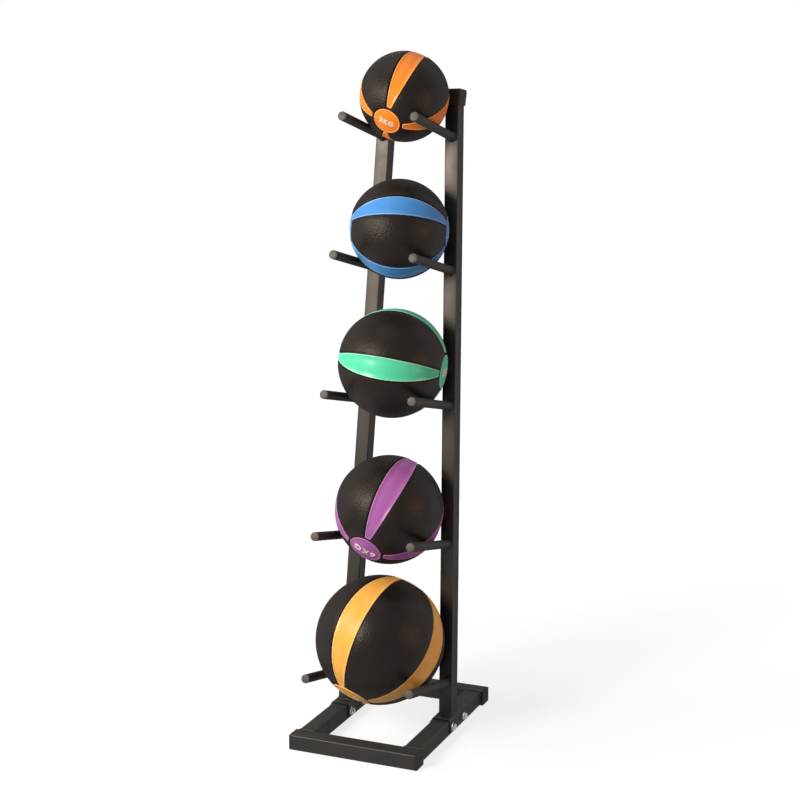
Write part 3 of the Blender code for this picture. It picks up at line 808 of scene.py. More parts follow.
@dataclass
class Upright:
    """A leaning upright of square tube with its cap.

    Attributes:
        side: Which side it stands on.
        base: The base frame that it stands on.
        bracket_top: Height of the bracket's upper face, mm.
        setback: From the base's front to the foot's front face, mm.
        lean: Lean to the back, degrees.
        top: Height of its upper end, mm.
        top_spacing: Distance between the two uprights' centre lines at the top, mm.
        cap_depth: Height of the cap, mm.
        cap_end: Thickness of the cap over the tube's end, mm.
        cap_wall: Thickness of the cap's side near the top, mm.
        cap_lip: Thickness of the cap's side at its lower rim, mm.
        cap_flare: From the rim to the first row of its flare, mm.
        cap_full: From the crown down to where the flare reaches its full width, mm.
        cap_corner: Rounding of the cap's upright edges, mm.
        cap_crown: Rounding of its upper edges, mm.
        cap_rim: Rounding of its rim, mm.
        buried: How far the tube is drawn past its foot before it is cut there, mm.
        bead: Radius of the foot's weld bead, mm.
        tube: The tube's section.
    """

    side: Side
    base: BaseFrame
    bracket_top: float = 37.3
    setback: float = 227.7
    lean: float = 5.78
    top: float = 1380.5
    top_spacing: float = 153.2
    cap_depth: float = 34.0
    cap_end: float = 3.5
    cap_wall: float = 4.5
    cap_lip: float = 2.5
    cap_flare: float = 9.0
    cap_full: float = 11.0
    cap_corner: float = 5.0
    cap_crown: float = 3.4
    cap_rim: float = 0.6
    buried: float = 20.0
    bead: float = 1.8
    tube: Tube = field(default_factory=lambda: Tube(32.0, 32.0, 1.5, 3.0))

    @property
    def foot(self) -> Vector:
        """The middle of the foot, mm."""
        level_depth = self.tube.height / math.cos(math.radians(self.lean))
        y = -self.base.depth / 2 + self.setback + level_depth / 2
        return Vector((self.side.value * self.base.side_x, y, self.bracket_top + self.base.gap))

    @property
    def frame(self) -> Matrix:
        """The upright's frame: origin in the middle of the foot, local Z along it and local Y back."""
        rise = self.top - self.foot.z
        draw_in = self.side.value * (self.top_spacing / 2 - self.base.side_x)
        along = Vector((draw_in, rise * math.tan(math.radians(self.lean)), rise)).normalized()
        across = (Vector((1, 0, 0)) - along.x * along).normalized()
        return axes_at(across, along.cross(across), along, self.foot)

    @property
    def length(self) -> float:
        """Length along the centre line, mm."""
        return (self.top - self.foot.z) / self.frame.col[2].z

    def face_point(self, height: float) -> Vector:
        """The point at a height on the centre line of the front face.

        Args:
            height: Height above the floor, mm.

        Returns:
            The point, mm.
        """
        back = self.frame.col[1].xyz
        along = self.frame.col[2].xyz
        start = self.foot - back * self.tube.height / 2
        return start + along * ((height - start.z) / along.z)

    def build(self) -> None:
        """Builds the tube, its foot weld and its cap."""
        frame = self.frame
        bm = self.tube.solid(-self.buried, self.length)
        bmesh.ops.transform(bm, matrix=frame, verts=bm.verts)
        sole = self.foot.z * MM
        cut = bmesh.ops.bisect_plane(
            bm, geom=all_geometry(bm), plane_co=(0, 0, sole), plane_no=(0, 0, 1),
            clear_inner=True)["geom_cut"]
        bmesh.ops.contextual_create(bm, geom=only(EDGES, cut))
        outline = bmesh.new()
        copies = {vert: outline.verts.new((vert.co.x, vert.co.y, sole)) for vert in only(VERTS, cut)}
        for edge in only(EDGES, cut):
            outline.edges.new([copies[vert] for vert in edge.verts])
        word = self.side.word
        add_piece(f"upright_tube_{word}", bm, POWDER_COAT, "rack", [f"upright_{word}"])
        weld = rippled_bead(outline, self.bead, closed=True)
        add_piece(f"foot_weld_{word}", weld, COATED_WELD, "rack")
        add_piece(f"end_cap_{word}", self.cap(), CAP_VINYL, "rack", [f"top_cap_{word}"], frame)

    def cap(self) -> bmesh.types.BMesh:
        """A soft cap, wider at its crown than at its lip, with rounded edges and corners.

        Returns:
            The bmesh, in the upright's frame.
        """
        gap = self.base.gap
        top = self.length + gap + self.cap_end
        pocket = self.tube.width + 2 * gap
        wide = pocket + 2 * self.cap_wall
        bm = block((wide, wide, self.cap_depth), (0, 0, top - self.cap_depth / 2))
        bmesh.ops.subdivide_edges(bm, edges=rising_edges(bm), cuts=2, use_grid_fill=True)
        low = (top - self.cap_depth) * MM
        rows = sorted({round(vert.co.z, 6) for vert in bm.verts})
        lip = (pocket + 2 * self.cap_lip) / wide
        heights = {
            rows[0]: (low, lip),
            rows[1]: (low + self.cap_flare * MM, (1 + 2 * lip) / 3),
            rows[2]: (top * MM - self.cap_full * MM, 1.0),
        }
        for vert in bm.verts:
            height, scale = heights.get(round(vert.co.z, 6), (vert.co.z, 1.0))
            vert.co = Vector((vert.co.x * scale, vert.co.y * scale, height))
        soften(bm, rising_edges(bm), self.cap_corner, segments=5)
        crown = top * MM - LEVEL
        soften(bm, edges_where(bm, lambda a, b: min(a.z, b.z) > crown), self.cap_crown, segments=5)
        floor = min(bm.faces, key=lambda face: face.calc_center_median().z)
        hollow(bm, floor, self.cap_lip, self.cap_depth - self.cap_end)
        rim = edges_where(bm, lambda a, b: max(abs(a.z - low), abs(b.z - low)) < LEVEL)
        soften(bm, rim, self.cap_rim, segments=2)
        return bm


@dataclass
class Foot:
    """The channel bracket that carries an upright, with its flange bolts and nuts.

    Attributes:
        upright: The upright on it.
        length: Length of the bracket, mm.
        plate: Thickness of its plate, mm.
        offset: How far its middle lies behind the upright's foot, mm.
        clearance: Height of its flaps above the floor, mm.
        edge: Rounding of its cut edges, mm.
        spacing: Distance between the bolts, mm.
        bolt_height: Height of the bolts above the floor, mm.
        shank: Bolt diameter, mm.
        flats: Width across the flats of heads and nuts, mm.
        head: Height of a head with its flange, mm.
        nut: Height of a nut with its flange, mm.
        flange: Diameter of the flanges, mm.
        flange_rim: Thickness of a flange at its rim, mm.
        flange_bevel: Chamfer of that rim, mm.
        skirt: Height at which a flange meets its hexagon, mm.
        protrusion: How far a bolt stands out of its nut, mm.
        pitch: Thread pitch, mm.
        thread_depth: Depth of the thread, as a share of its pitch.
        point: Height of a bolt's chamfered point, mm.
        chamfer: Rounded chamfer at the top of heads and nuts, mm.
    """

    upright: Upright
    length: float = 90.0
    plate: float = 3.0
    offset: float = 4.0
    clearance: float = 6.0
    edge: float = 0.5
    spacing: float = 68.0
    bolt_height: float = 18.5
    shank: float = 8.0
    flats: float = 13.0
    head: float = 7.1
    nut: float = 6.5
    flange: float = 17.0
    flange_rim: float = 0.9
    flange_bevel: float = 0.3
    skirt: float = 2.4
    protrusion: float = 3.0
    pitch: float = 1.25
    thread_depth: float = 0.6
    point: float = 1.2
    chamfer: float = 0.9

    def build(self) -> None:
        """Builds the bracket, bolts and nuts."""
        base = self.upright.base
        side = self.upright.side
        x = side.value * base.side_x
        y = self.upright.foot.y + self.offset
        add_piece(f"channel_bracket_{side.word}", self.bracket(), POWDER_COAT, "rack",
                  [f"foot_bracket_{side.word}"], Matrix.Translation(Vector((x, y, 0)) * MM))
        flap = base.tube.width / 2 + base.gap + self.plate
        out = Vector((side.value, 0, 0))
        for word, shift in (("front", -self.spacing / 2), ("rear", self.spacing / 2)):
            place = base.lying(out, (x + side.value * (flap + base.gap), y + shift, self.bolt_height))
            through = 2 * (flap + base.gap)
            add_piece(f"flange_bolt_{side.word}_{word}", self.bolt(through), ZINC_PLATE, "rack",
                      [f"foot_bolt_{side.word}_{word}"], place, smooth_below=25.0)
            seat = Matrix.Translation((0, 0, -through * MM)) @ Matrix.Rotation(math.pi, 4, "X")
            nut = self.hexagon(self.nut, is_nut=True)
            add_piece(f"flange_nut_{side.word}_{word}", nut, ZINC_PLATE, "rack",
                      [f"foot_nut_{side.word}_{word}"], place @ seat, smooth_below=25.0)

    def bracket(self) -> bmesh.types.BMesh:
        """A plate bent over the side tube: a path with two rounded bends, drawn out and thickened.

        Returns:
            The bmesh, in the bracket's frame: its origin on the floor under the middle of the plate.
        """
        tube = self.upright.base.tube
        gap = self.upright.base.gap
        half = tube.width / 2 + gap
        back = tube.height + gap
        front = -self.length / 2
        corners = [(half, self.clearance), (half, back), (-half, back), (-half, self.clearance)]
        bm = bent_path([(x, front, z) for x, z in corners], tube.corner + gap, segments=6)
        drawn = bmesh.ops.extrude_edge_only(bm, edges=bm.edges[:])["geom"]
        bmesh.ops.translate(bm, vec=(0, self.length * MM, 0), verts=only(VERTS, drawn))
        inner = bm.faces[:]
        for face in inner:
            towards = Vector((0, 0, back * MM / 2)) - face.calc_center_median()
            if face.normal.dot(towards) < 0:
                face.normal_flip()
        bmesh.ops.solidify(bm, geom=inner, thickness=self.plate * MM)
        bmesh.ops.recalc_face_normals(bm, faces=bm.faces)
        soften(bm, sharp_edges(bm, angle=60.0), self.edge, segments=2)
        return bm

    def hexagon(self, height: float, is_nut: bool) -> bmesh.types.BMesh:
        """A chamfered hexagon on a round washer flange, seated at z = 0.

        Args:
            height: Overall height, mm.
            is_nut: Whether its end face is parted round the bolt that comes through it.

        Returns:
            The bmesh.
        """
        # The hexagon starts inside the flange, which stands out a little past its flats
        start = 1.0
        shelf = 0.4
        outer = self.flange / 2
        inner = outer - self.flange_bevel
        bm = turned(
            [
                (0, self.skirt),
                (self.flats / 2 + shelf, self.skirt),
                (inner, self.flange_rim + self.flange_bevel),
                (outer, self.flange_rim),
                (outer, self.flange_bevel / 2),
                (inner, 0),
                (0, 0),
            ],
            steps=48)
        corner = self.flats / 2 / math.cos(math.pi / 6) * MM
        body = bmesh.ops.create_cone(
            bm, cap_ends=True, segments=6, radius1=corner, radius2=corner, depth=(height - start) * MM)
        bmesh.ops.translate(bm, vec=(0, 0, (height + start) / 2 * MM), verts=body["verts"])
        crown = [
            edge for vert in body["verts"] for edge in vert.link_edges
            if min(v.co.z for v in edge.verts) > height * MM - LEVEL]
        soften(bm, list(dict.fromkeys(crown)), self.chamfer, segments=3)
        if is_nut:
            top = max(bm.faces, key=lambda face: face.calc_center_median().z)
            bmesh.ops.inset_individual(bm, faces=[top], thickness=(self.flats - self.shank) / 2 * MM)
        return bm

    def bolt(self, through: float) -> bmesh.types.BMesh:
        """A flange bolt: hexagon head and a shank whose last part carries a thread.

        Args:
            through: Thickness that it clamps, mm.

        Returns:
            The bmesh, local Z out of the head.
        """
        bm = self.hexagon(self.head, is_nut=False)
        tip = through + self.nut + self.protrusion
        crest = self.shank / 2
        root = crest - self.thread_depth * self.pitch
        inside_nut = 3
        turns = int((self.protrusion + inside_nut) / self.pitch)
        facets = 24
        # The ridge's foot is sunk in the core; its half widths are shares of the pitch
        foot = root - 0.2
        half_foot = 0.48
        half_crest = 0.06
        ridge = bmesh.new()
        corners = ((foot, half_foot), (crest, half_crest), (crest, -half_crest), (foot, -half_foot))
        face = ridge.faces.new([ridge.verts.new((x * MM, 0, z * self.pitch * MM)) for x, z in corners])
        bmesh.ops.spin(
            ridge, geom=[face], cent=(0, 0, 0), axis=(0, 0, 1), dvec=(0, 0, self.pitch * MM / facets),
            angle=FULL_TURN * turns, steps=facets * turns, use_merge=False)
        bmesh.ops.holes_fill(ridge, edges=ridge.edges, sides=4)
        thread_start = self.point + 0.2
        bmesh.ops.translate(ridge, vec=(0, 0, (thread_start - tip) * MM), verts=ridge.verts)
        bmesh.ops.recalc_face_normals(ridge, faces=ridge.faces)
        join(bm, ridge)
        plain = crest - 0.35
        taper = 1
        tip_radius = root - 0.8
        core = turned(
            [
                (0, 0),
                (plain, 0),
                (plain, -through),
                (root, -through - taper),
                (root, self.point - tip),
                (tip_radius, -tip),
                (0, -tip),
            ],
            steps=32)
        join(bm, core)
        return bm


@dataclass
class Peg:
    """A peg of round tube with its weld and plug.

    Attributes:
        tier: Its tier.
        height: Height of its root on the upright's face, mm.
        upright: The upright that it is welded to.
        diameter: Outer diameter, mm.
        length: From the upright's face to the plug's tip, mm.
        rise: Angle above the horizontal, degrees.
        plug_dome: Height of the plug's dome, mm.
        plug_rim: Thickness of the plug's rim, mm.
        plug_fullness: Power that shapes the dome; below 1 it is fuller than a round one.
        plug_seat: Chamfer where the plug sits on the tube, mm.
        plug_step: From the plug's rim in to its stem, mm.
        plug_stem: Length of its stem, mm.
        edge: Chamfer of the tube's outer edge at its tip, mm.
        buried: How far the tube is drawn past the upright's face before it is cut there, mm.
        bead: Radius of the weld bead, mm.
        bead_stand: From the tube's face out to the middle of the bead, mm.
    """

    tier: int
    height: float
    upright: Upright
    diameter: float = 19.0
    length: float = 216.5
    rise: float = 12.54
    plug_dome: float = 2.2
    plug_rim: float = 1.2
    plug_fullness: float = 0.8
    plug_seat: float = 0.25
    plug_step: float = 1.8
    plug_stem: float = 12.0
    edge: float = 0.6
    buried: float = 12.0
    bead: float = 1.7
    bead_stand: float = 0.5

    def build(self) -> None:
        """Builds the tube, weld and plug."""
        side = self.upright.side
        rise = math.radians(self.rise)
        out = Vector((0, -math.cos(rise), math.sin(rise)))
        up = Vector((0, math.sin(rise), math.cos(rise)))
        frame = axes_at(out.cross(up), up, out, self.upright.face_point(self.height))
        face = -self.upright.frame.col[1].xyz
        local = frame.inverted().to_3x3() @ face
        gap = self.upright.base.gap
        tip = self.length - self.plug_dome - self.plug_rim - gap
        radius = self.diameter / 2
        bm = turned(
            [(0, tip), (radius - self.edge, tip), (radius, tip - self.edge), (radius, -self.buried),
             (0, -self.buried)],
            steps=48)
        cut = bmesh.ops.bisect_plane(
            bm, geom=all_geometry(bm), plane_co=local * gap * MM, plane_no=local, clear_inner=True)
        bmesh.ops.contextual_create(bm, geom=only(EDGES, cut["geom_cut"]))
        name = f"{self.tier}_{side.word}"
        add_piece(f"peg_tube_{name}", bm, POWDER_COAT, "rack", [f"peg_{name}"], frame)
        ring = bmesh.new()
        bmesh.ops.create_circle(
            ring, cap_ends=False, segments=48, radius=(radius + self.bead_stand) * MM)
        weld = rippled_bead(ring, self.bead, closed=True)
        for vert in weld.verts:
            vert.co.z -= (vert.co.x * local.x + vert.co.y * local.y) / local.z
        add_piece(f"peg_weld_{name}", weld, COATED_WELD, "rack", (), frame)
        seat = frame @ Matrix.Translation((0, 0, (tip + gap) * MM))
        add_piece(f"peg_tip_plug_{name}", self.plug(), GREY_PLUG, "rack", [f"peg_plug_{name}"],
                  seat, smooth_below=50.0)

    def plug(self) -> bmesh.types.BMesh:
        """A shallow dome with a rounded shoulder over a short stem.

        Returns:
            The bmesh, local Z out of the peg and z = 0 where it sits on the tube.
        """
        radius = self.diameter / 2
        stem = radius - self.plug_step
        steps = 8
        angles = [math.pi / 2 * step / steps for step in range(steps)]
        dome = [
            (radius * math.sin(angle),
             self.plug_rim + self.plug_dome * math.cos(angle) ** self.plug_fullness)
            for angle in angles]
        below = [
            (radius, self.plug_rim),
            (radius, self.plug_seat),
            (radius - self.plug_seat, 0),
            (stem, 0),
            (stem, -self.plug_stem),
            (0, -self.plug_stem),
        ]
        return turned(dome + below, steps=48)


# Steps across a bead from its outer edge: share of its width, and the height reached as a share, which also
# sets how much of the painted highlight it gets
BEAD_STEPS = ((0.3, 1.0), (0.4, 1.0), (0.3, 0.0))


@dataclass
class MedicineBall:
    """A weighted rubber ball: pebbled black panels, coloured discs and stripes, printed mass and a valve.

    Attributes:
        tier: Its tier.
        mass: The mass printed on it, kg.
        radius: Radius at which it touches the pegs, mm.
        centre: Y and Z of its centre, mm.
        pole: Direction of the disc that shows most.
        turn: Angle from straight up to the first stripe about the pole, degrees.
        valve_panel: The black panel with the valve, counted on from the first stripe.
        mark_stripe: The stripe that the printed mass points up to.
        mark_tilt: How far the printed mass is turned clockwise from there, degrees.
        colour: The coloured rubber.
        mark_size: Type size of the printed mass, mm.
        disc: Half angle of a disc, degrees.
        stripe: Width of a stripe, degrees.
        groove: Width of the dark groove beside the coloured rubber, mm.
        recess: Depth of the groove, mm.
        bead: Width of the raised bead along the edges of the coloured rubber, mm.
        bead_height: Height of that bead, mm.
        shoulder: Rounding of the black rubber's edges along the grooves, mm.
        bold: How much the printed strokes are thickened, as a share of the type size.
        ink: Height of the ink over the disc, mm.
        ink_root: How far the ink is drawn into the rubber below its face, mm.
        under_gap: Gap between the coloured rubber and the floor of its recess, mm.
    """

    tier: int
    mass: int
    radius: float
    centre: tuple[float, float]
    pole: tuple[float, float, float]
    turn: float
    valve_panel: int
    mark_stripe: int
    colour: BallColour
    mark_size: float
    mark_tilt: float = 0.0
    disc: float = 18.2
    stripe: float = 23.0
    groove: float = 3.0
    recess: float = 2.6
    bead: float = 2.4
    bead_height: float = 0.7
    shoulder: float = 1.3
    bold: float = 0.034
    ink: float = 0.15
    ink_root: float = 0.4
    under_gap: float = 0.1

    @property
    def recess_disc(self) -> float:
        """Half angle of a disc with its groove."""
        return math.radians(self.disc) + self.groove / self.radius

    @property
    def recess_stripe(self) -> float:
        """Angular width of a stripe with its two grooves."""
        return math.radians(self.stripe) + 2 * self.groove / self.radius

    @property
    def body(self) -> str:
        """The CAD body that the ball's pieces ride on."""
        return f"ball_{self.tier}"

    @property
    def frame(self) -> Matrix:
        """The ball's frame: origin in its centre, local Z to the pole and local X to the first stripe."""
        pole = Vector(self.pole).normalized()
        upward = (Vector((0, 0, 1)) - pole.z * pole).normalized()
        still = axes_at(upward, pole.cross(upward), pole, (0, *self.centre))
        return still @ Matrix.Rotation(math.radians(self.turn), 4, "Z")

    def build(self) -> None:
        """Builds the shell, the coloured rubber, the valve and the printed mass."""
        body = self.body
        add_piece(f"{body}_black_panels", self.shell(), BLACK_RUBBER, body, [f"{body}_shell"],
                  self.frame, smooth_below=50.0)
        finish = self.colour.finish(self.tier)
        add_piece(f"{body}_coloured_rubber", self.coloured(), finish, body, [f"{body}_bands"],
                  self.frame, smooth_below=60.0)
        add_piece(f"{body}_valve_plug", self.valve(), BLACK_PLUG, body, [f"{body}_valve"],
                  self.frame @ self.valve_place())
        for end, pole in (("front", 1), ("rear", -1)):
            add_piece(f"{body}_mass_mark_{end}", self.mark(pole), WHITE_INK, body, (), self.frame)

    def sphere(self, columns: int = 4, rows: int = 44) -> bmesh.types.BMesh:
        """A sphere swept by operators, with edges along the borders of its discs and stripes.

        Args:
            columns: Facets across a stripe.
            rows: Facets along it, from disc to disc.

        Returns:
            The bmesh.
        """
        bm = bmesh.new()
        disc_rows = 4
        panel_columns = 12
        # The last spin ends within this of the first meridian, mm
        closing = 0.01
        disc = self.recess_disc
        stripe = self.recess_stripe
        meridian = -stripe / 2
        across = Vector((-math.sin(meridian), math.cos(meridian), 0))
        last = [bm.verts.new((0, 0, self.radius * MM))]
        for angle, steps in ((disc, disc_rows), (math.pi - 2 * disc, rows), (disc, disc_rows)):
            spun = bmesh.ops.spin(
                bm, geom=last, cent=(0, 0, 0), axis=across, angle=angle, steps=steps, use_merge=False)
            last = only(VERTS, spun["geom_last"])
        last = bm.verts[:] + bm.edges[:]
        panel = math.pi / 2 - stripe
        for angle, steps in ((stripe, columns), (panel, panel_columns)) * 4:
            spun = bmesh.ops.spin(
                bm, geom=last, cent=(0, 0, 0), axis=(0, 0, 1), angle=angle, steps=steps, use_merge=False)
            last = spun["geom_last"]
        bmesh.ops.remove_doubles(bm, verts=bm.verts, dist=closing * MM)
        bmesh.ops.recalc_face_normals(bm, faces=bm.faces)
        return bm

    def on_disc(self, face: bmesh.types.BMFace) -> bool:
        """Whether a face of the sphere lies on one of the discs."""
        height = abs(face.calc_center_median().normalized().z)
        return math.acos(min(1.0, height)) < self.recess_disc

    def on_stripe(self, face: bmesh.types.BMFace) -> bool:
        """Whether a face of the sphere lies on a stripe, between the discs.

        Args:
            face: The face.

        Returns:
            True where it does.
        """
        middle = face.calc_center_median()
        off = (math.atan2(middle.y, middle.x) + math.pi / 4) % (math.pi / 2) - math.pi / 4
        return not self.on_disc(face) and abs(off) < self.recess_stripe / 2

    def at_radius(self, verts: Iterable[bmesh.types.BMVert], radius: float) -> None:
        """Moves vertices in or out to a radius in mm."""
        for vert in verts:
            vert.co = vert.co.normalized() * radius * MM

    def shell(self) -> bmesh.types.BMesh:
        """The black body, with a recess under the coloured rubber and rounded shoulders.

        Returns:
            The bmesh, in the ball's frame.
        """
        bm = self.sphere()
        recessed = [face for face in bm.faces if self.on_disc(face) or self.on_stripe(face)]
        sunk = bmesh.ops.extrude_face_region(bm, geom=recessed)["geom"]
        self.at_radius(only(VERTS, sunk), self.radius - self.recess)
        bmesh.ops.delete(bm, geom=recessed, context="FACES")
        surface = self.radius * MM - LEVEL / 2
        shoulders = [
            edge for edge in sharp_edges(bm, angle=45.0)
            if min(vert.co.length for vert in edge.verts) > surface]
        soften(bm, shoulders, self.shoulder, segments=3)
        return bm

    def coloured(self) -> bmesh.types.BMesh:
        """Both discs and the four stripes, each with a raised bead round its edge.

        A stripe starts one facet wide, so that its beads have room, and its field is divided once they are
        there.

        Returns:
            The bmesh, in the ball's frame.
        """
        bm = bmesh.new()
        narrow = self.sphere(columns=1, rows=22)
        for chosen, patch in ((self.on_disc, self.sphere()), (self.on_stripe, narrow)):
            # The painted highlight's share at each vertex, 1 on the beads' crests
            bead_highlight = patch.verts.layers.float.new(BEAD_HIGHLIGHT)
            others = [face for face in patch.faces if not chosen(face)]
            bmesh.ops.delete(patch, geom=others, context="FACES")
            groove = bmesh.ops.inset_region(
                patch, faces=patch.faces[:], thickness=self.groove * MM, use_boundary=True,
                use_even_offset=True)
            bmesh.ops.delete(patch, geom=groove["faces"], context="FACES")
            low = self.radius - self.bead_height
            self.at_radius(patch.verts, low)
            inner = patch.faces[:]
            for share, height in BEAD_STEPS:
                bmesh.ops.inset_region(
                    patch, faces=inner, thickness=self.bead * share * MM, use_boundary=True,
                    use_even_offset=True)
                moved = {vert for face in inner for vert in face.verts}
                self.at_radius(moved, low + self.bead_height * height)
                # The bead's crest gets the painted highlight
                for vert in moved:
                    vert[bead_highlight] = height
            if chosen == self.on_stripe:
                sides = dict.fromkeys(edge for face in inner for edge in face.edges)
                rungs = [
                    edge for edge in sides
                    if abs(edge.verts[0].co.z - edge.verts[1].co.z) < LEVEL]
                cut = bmesh.ops.subdivide_edges(patch, edges=rungs, cuts=3)
                self.at_radius(only(VERTS, cut["geom_inner"]), low)
            base = bmesh.ops.extrude_face_region(patch, geom=patch.faces[:])["geom"]
            self.at_radius(only(VERTS, base), self.radius - self.recess + self.under_gap)
            join(bm, patch)
        return bm

    def valve_place(self) -> Matrix:
        """Where the valve sits.

        Returns:
            Its frame in the ball's frame, local Z outwards.
        """
        angle = math.pi / 2 * (self.valve_panel + 0.5)
        out = Vector((math.cos(angle), math.sin(angle), 0))
        turn = out.to_track_quat("Z", "Y").to_matrix().to_4x4()
        return Matrix.Translation(out * self.radius * MM) @ turn

    def valve(self) -> bmesh.types.BMesh:
        """A flush plug with a dished needle hole."""
        return turned(
            [(0, -2.2), (0.7, -1.2), (1.6, -0.35), (2.4, -0.1), (5.4, -0.25), (6.0, -0.55), (6.0, -2.6),
             (0, -2.6)],
            steps=40)

    def mark(self, pole: int) -> bmesh.types.BMesh:
        """The mass printed on a disc, laid on the sphere.

        Args:
            pole: 1 for the disc that shows most, -1 for the other.

        Returns:
            The bmesh, in the ball's frame.
        """
        curve = bpy.data.curves.new("mass_mark", "FONT")
        curve.body = f"{self.mass}KG"
        curve.align_x = "CENTER"
        curve.align_y = "CENTER"
        curve.size = self.mark_size * MM
        curve.offset = self.mark_size * MM * self.bold
        curve.space_character = 1.2
        curve.resolution_u = 4
        bm = bmesh_of_curve(curve)
        height = self.radius - self.bead_height + self.ink
        raised = bmesh.ops.extrude_face_region(bm, geom=bm.faces[:])["geom"]
        under = set(only(VERTS, raised))
        up = math.pi / 2 * self.mark_stripe - math.radians(self.mark_tilt)
        for vert in bm.verts:
            x, y = vert.co.x, vert.co.y
            reach = math.hypot(x, y)
            spread = math.atan2(y, pole * x) + up - math.pi / 2
            angle = reach / (self.radius * MM)
            level = height - (self.ink_root if vert in under else 0.0)
            flat = Vector((math.cos(spread), math.sin(spread), 0)) * math.sin(angle)
            vert.co = (flat + Vector((0, 0, pole * math.cos(angle)))) * level * MM
        return bm


@dataclass
class Studio:
    """Camera, floor, backdrop and lights.

    Attributes:
        azimuth: How far round to the right of the front the camera looks from, degrees.
        pitch: How far it looks down, degrees.
        picture: Width of the photograph in pixels.
        focal_pixels: Focal length in the photograph's pixels.
        position: The camera's place, mm.
        floor_reach: From the origin to the floor's edges, m.
        floor_drop: How far the floor lies under the rack, mm.
    """

    azimuth: float = 22.89
    pitch: float = 10.86
    picture: int = 800
    focal_pixels: float = 1653.0
    position: tuple[float, float, float] = (1364.1, -3188.2, 1397.8)
    floor_reach: float = 20.0
    floor_drop: float = 0.5

    def build(self) -> None:
        """Builds the camera, floor, world and lights."""
        scene = bpy.context.scene
        scene.view_settings.view_transform = "Standard"
        self.camera()
        self.floor()
        self.world()
        self.lights()

    def camera(self) -> None:
        """Sets the camera where the photograph was taken from."""
        camera = bpy.data.cameras.new("camera")
        camera.sensor_width = 36.0
        camera.lens = self.focal_pixels / self.picture * camera.sensor_width
        camera.clip_end = 100.0
        holder = bpy.data.objects.new("camera", camera)
        turn = math.radians(self.azimuth)
        dip = math.radians(self.pitch)
        ahead = Vector((-math.sin(turn) * math.cos(dip), math.cos(turn) * math.cos(dip), -math.sin(dip)))
        holder.location = Vector(self.position) * MM
        holder.rotation_euler = ahead.to_track_quat("-Z", "Y").to_euler()
        bpy.context.scene.collection.objects.link(holder)
        bpy.context.scene.camera = holder

    def floor(self) -> None:
        """A white floor that runs out to the backdrop."""
        bm = bmesh.new()
        bmesh.ops.create_grid(bm, x_segments=1, y_segments=1, size=self.floor_reach)
        mesh = bpy.data.meshes.new("floor")
        bm.to_mesh(mesh)
        bm.free()
        floor = bpy.data.objects.new("floor", mesh)
        floor.location.z = -self.floor_drop * MM
        bpy.context.scene.collection.objects.link(floor)
        mesh.materials.append(self.floor_material())

    def seen(self, tree: bpy.types.NodeTree) -> bpy.types.NodeSocket:
        """1 for rays that show the background: from the camera, a reflection or through glass.

        Args:
            tree: A node tree.

        Returns:
            The value.
        """
        rays = add_node(tree, "ShaderNodeLightPath").outputs
        both = add_node(
            tree, "ShaderNodeMath", {0: rays["Is Camera Ray"], 1: rays["Is Glossy Ray"]},
            {"operation": "MAXIMUM"})
        return add_node(
            tree, "ShaderNodeMath", {0: both.outputs[0], 1: rays["Is Transmission Ray"]},
            {"operation": "MAXIMUM"},
        ).outputs[0]

    def floor_material(self) -> bpy.types.Material:
        """White studio paper: it shows white and keeps a soft shadow.

        Returns:
            The material.
        """
        material = bpy.data.materials.new("white_studio_paper")
        material.use_nodes = True
        tree = material.node_tree
        tree.nodes.clear()
        paper = add_node(tree, "ShaderNodeBsdfDiffuse", {"Color": srgb("959AA0")})
        place = add_node(tree, "ShaderNodeTexCoord").outputs["Object"]
        reach = add_node(tree, "ShaderNodeVectorMath", {0: place}, {"operation": "LENGTH"})
        # The paper glows more where less of the lamps' light reaches it
        strength = add_node(
            tree, "ShaderNodeMapRange",
            {"Value": reach.outputs["Value"], "From Min": 0.4, "From Max": 2.4,
             "To Min": 0.77, "To Max": 0.97})
        glow = add_node(
            tree, "ShaderNodeEmission", {"Color": srgb("FFFFFF"), "Strength": strength.outputs["Result"]})
        lit = add_node(tree, "ShaderNodeAddShader", {0: paper.outputs[0], 1: glow.outputs[0]})
        mix = add_node(
            tree, "ShaderNodeMixShader", {0: self.seen(tree), 1: paper.outputs[0], 2: lit.outputs[0]})
        add_node(tree, "ShaderNodeOutputMaterial", {"Surface": mix.outputs[0]})
        return material

    def world(self) -> None:
        """A white backdrop that gives the object only a soft, even light."""
        world = bpy.data.worlds.new("studio")
        world.use_nodes = True
        bpy.context.scene.world = world
        tree = world.node_tree
        tree.nodes.clear()
        strength = add_node(
            tree, "ShaderNodeMapRange", {"Value": self.seen(tree), "To Min": 0.2, "To Max": 1.0})
        sky = add_node(
            tree, "ShaderNodeBackground", {"Color": srgb("FFFFFF"), "Strength": strength.outputs["Result"]})
        add_node(tree, "ShaderNodeOutputWorld", {"Surface": sky.outputs[0]})

    def lights(self) -> None:
        """Two windows on the left, a soft light overhead, a warm fill on the right and a lamp behind."""
        self.area("near_window", (-1150, -2500, 1700), (0, 0, 900), 700, 1000, 84.0, "FFEAD4")
        self.area("far_window", (-2300, -1450, 1850), (0, 0, 900), 1000, 1200, 32.0, "FFEAD4")
        self.area("overhead_light", (-300, -500, 2900), (0, 0, 900), 1400, 1400, 7.0, "FFF0E0")
        self.area("warm_fill", (2500, -300, 1000), (0, 0, 700), 900, 900, 14.0, "FFB07A")
        self.area("ceiling_lamp", (-800, 1650, 2200), (0, 0, 600), 200, 200, 3.0, "FFF6EA")

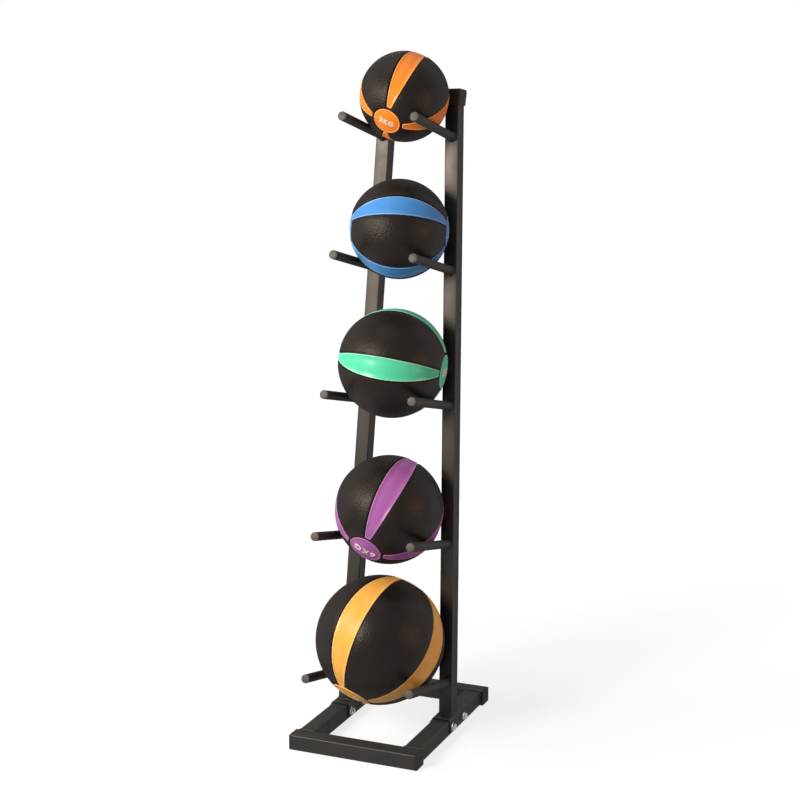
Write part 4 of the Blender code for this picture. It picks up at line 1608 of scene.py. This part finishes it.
    def area(
        self,
        name: str,
        position: tuple[float, float, float],
        target: tuple[float, float, float],
        width: float,
        height: float,
        power: float,
        colour: str,
    ) -> None:
        """Adds an area light.

        Args:
            name: The light's name.
            position: Its place, mm.
            target: What it points at, mm.
            width: Its width, mm.
            height: Its height, mm.
            power: Its power, W.
            colour: Its colour, sRGB hex.
        """
        light = bpy.data.lights.new(name, "AREA")
        light.shape = "RECTANGLE"
        light.size = width * MM
        light.size_y = height * MM
        light.energy = power
        light.color = srgb(colour)[:3]
        holder = bpy.data.objects.new(name, light)
        holder.location = Vector(position) * MM
        aim = Vector(target) - Vector(position)
        holder.rotation_euler = aim.to_track_quat("-Z", "Y").to_euler()
        bpy.context.scene.collection.objects.link(holder)


# Heights of the pegs' roots from the top tier down, mm
TIER_HEIGHTS = (1284.9, 1003.0, 713.2, 413.6, 107.7)

# The balls from the top tier down
BALLS = (
    MedicineBall(
        tier=1, mass=2, radius=94.6, centre=(66.05, 1369.46), pole=(-0.09, -0.83, -0.55), turn=66,
        valve_panel=0, mark_stripe=3, colour=BallColour.ORANGE, mark_size=15.5, mark_tilt=5.0),
    MedicineBall(
        tier=2, mass=3, radius=106.0, centre=(38.79, 1093.93), pole=(0.937, 0.346, -0.052), turn=57,
        valve_panel=2, mark_stripe=0, colour=BallColour.BLUE, mark_size=19.0),
    MedicineBall(
        tier=3, mass=5, radius=117.4, centre=(3.41, 811.79), pole=(0.976, 0.176, -0.132), turn=86,
        valve_panel=2, mark_stripe=3, colour=BallColour.GREEN, mark_size=23.0),
    MedicineBall(
        tier=4, mass=6, radius=117.55, centre=(-17.46, 495.71), pole=(-0.155, -0.782, -0.603), turn=61,
        valve_panel=0, mark_stripe=1, colour=BallColour.PURPLE, mark_size=24.0, mark_tilt=6.0),
    MedicineBall(
        tier=5, mass=8, radius=139.3, centre=(-67.85, 218.38), pole=(-0.26, -0.56, -0.78), turn=77,
        valve_panel=0, mark_stripe=3, colour=BallColour.YELLOW, mark_size=25.0),
)


def main() -> None:
    """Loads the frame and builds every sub-assembly in order."""
    logging.basicConfig(level=logging.INFO, format="%(message)s")
    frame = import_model()
    base = BaseFrame()
    base.build()
    for side in Side:
        upright = Upright(side, base)
        upright.build()
        Foot(upright).build()
        for tier, height in enumerate(TIER_HEIGHTS, start=1):
            Peg(tier, height, upright).build()
    for ball in BALLS:
        ball.build()
    Studio().build()
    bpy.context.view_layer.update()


if __name__ == "__main__":
    main()
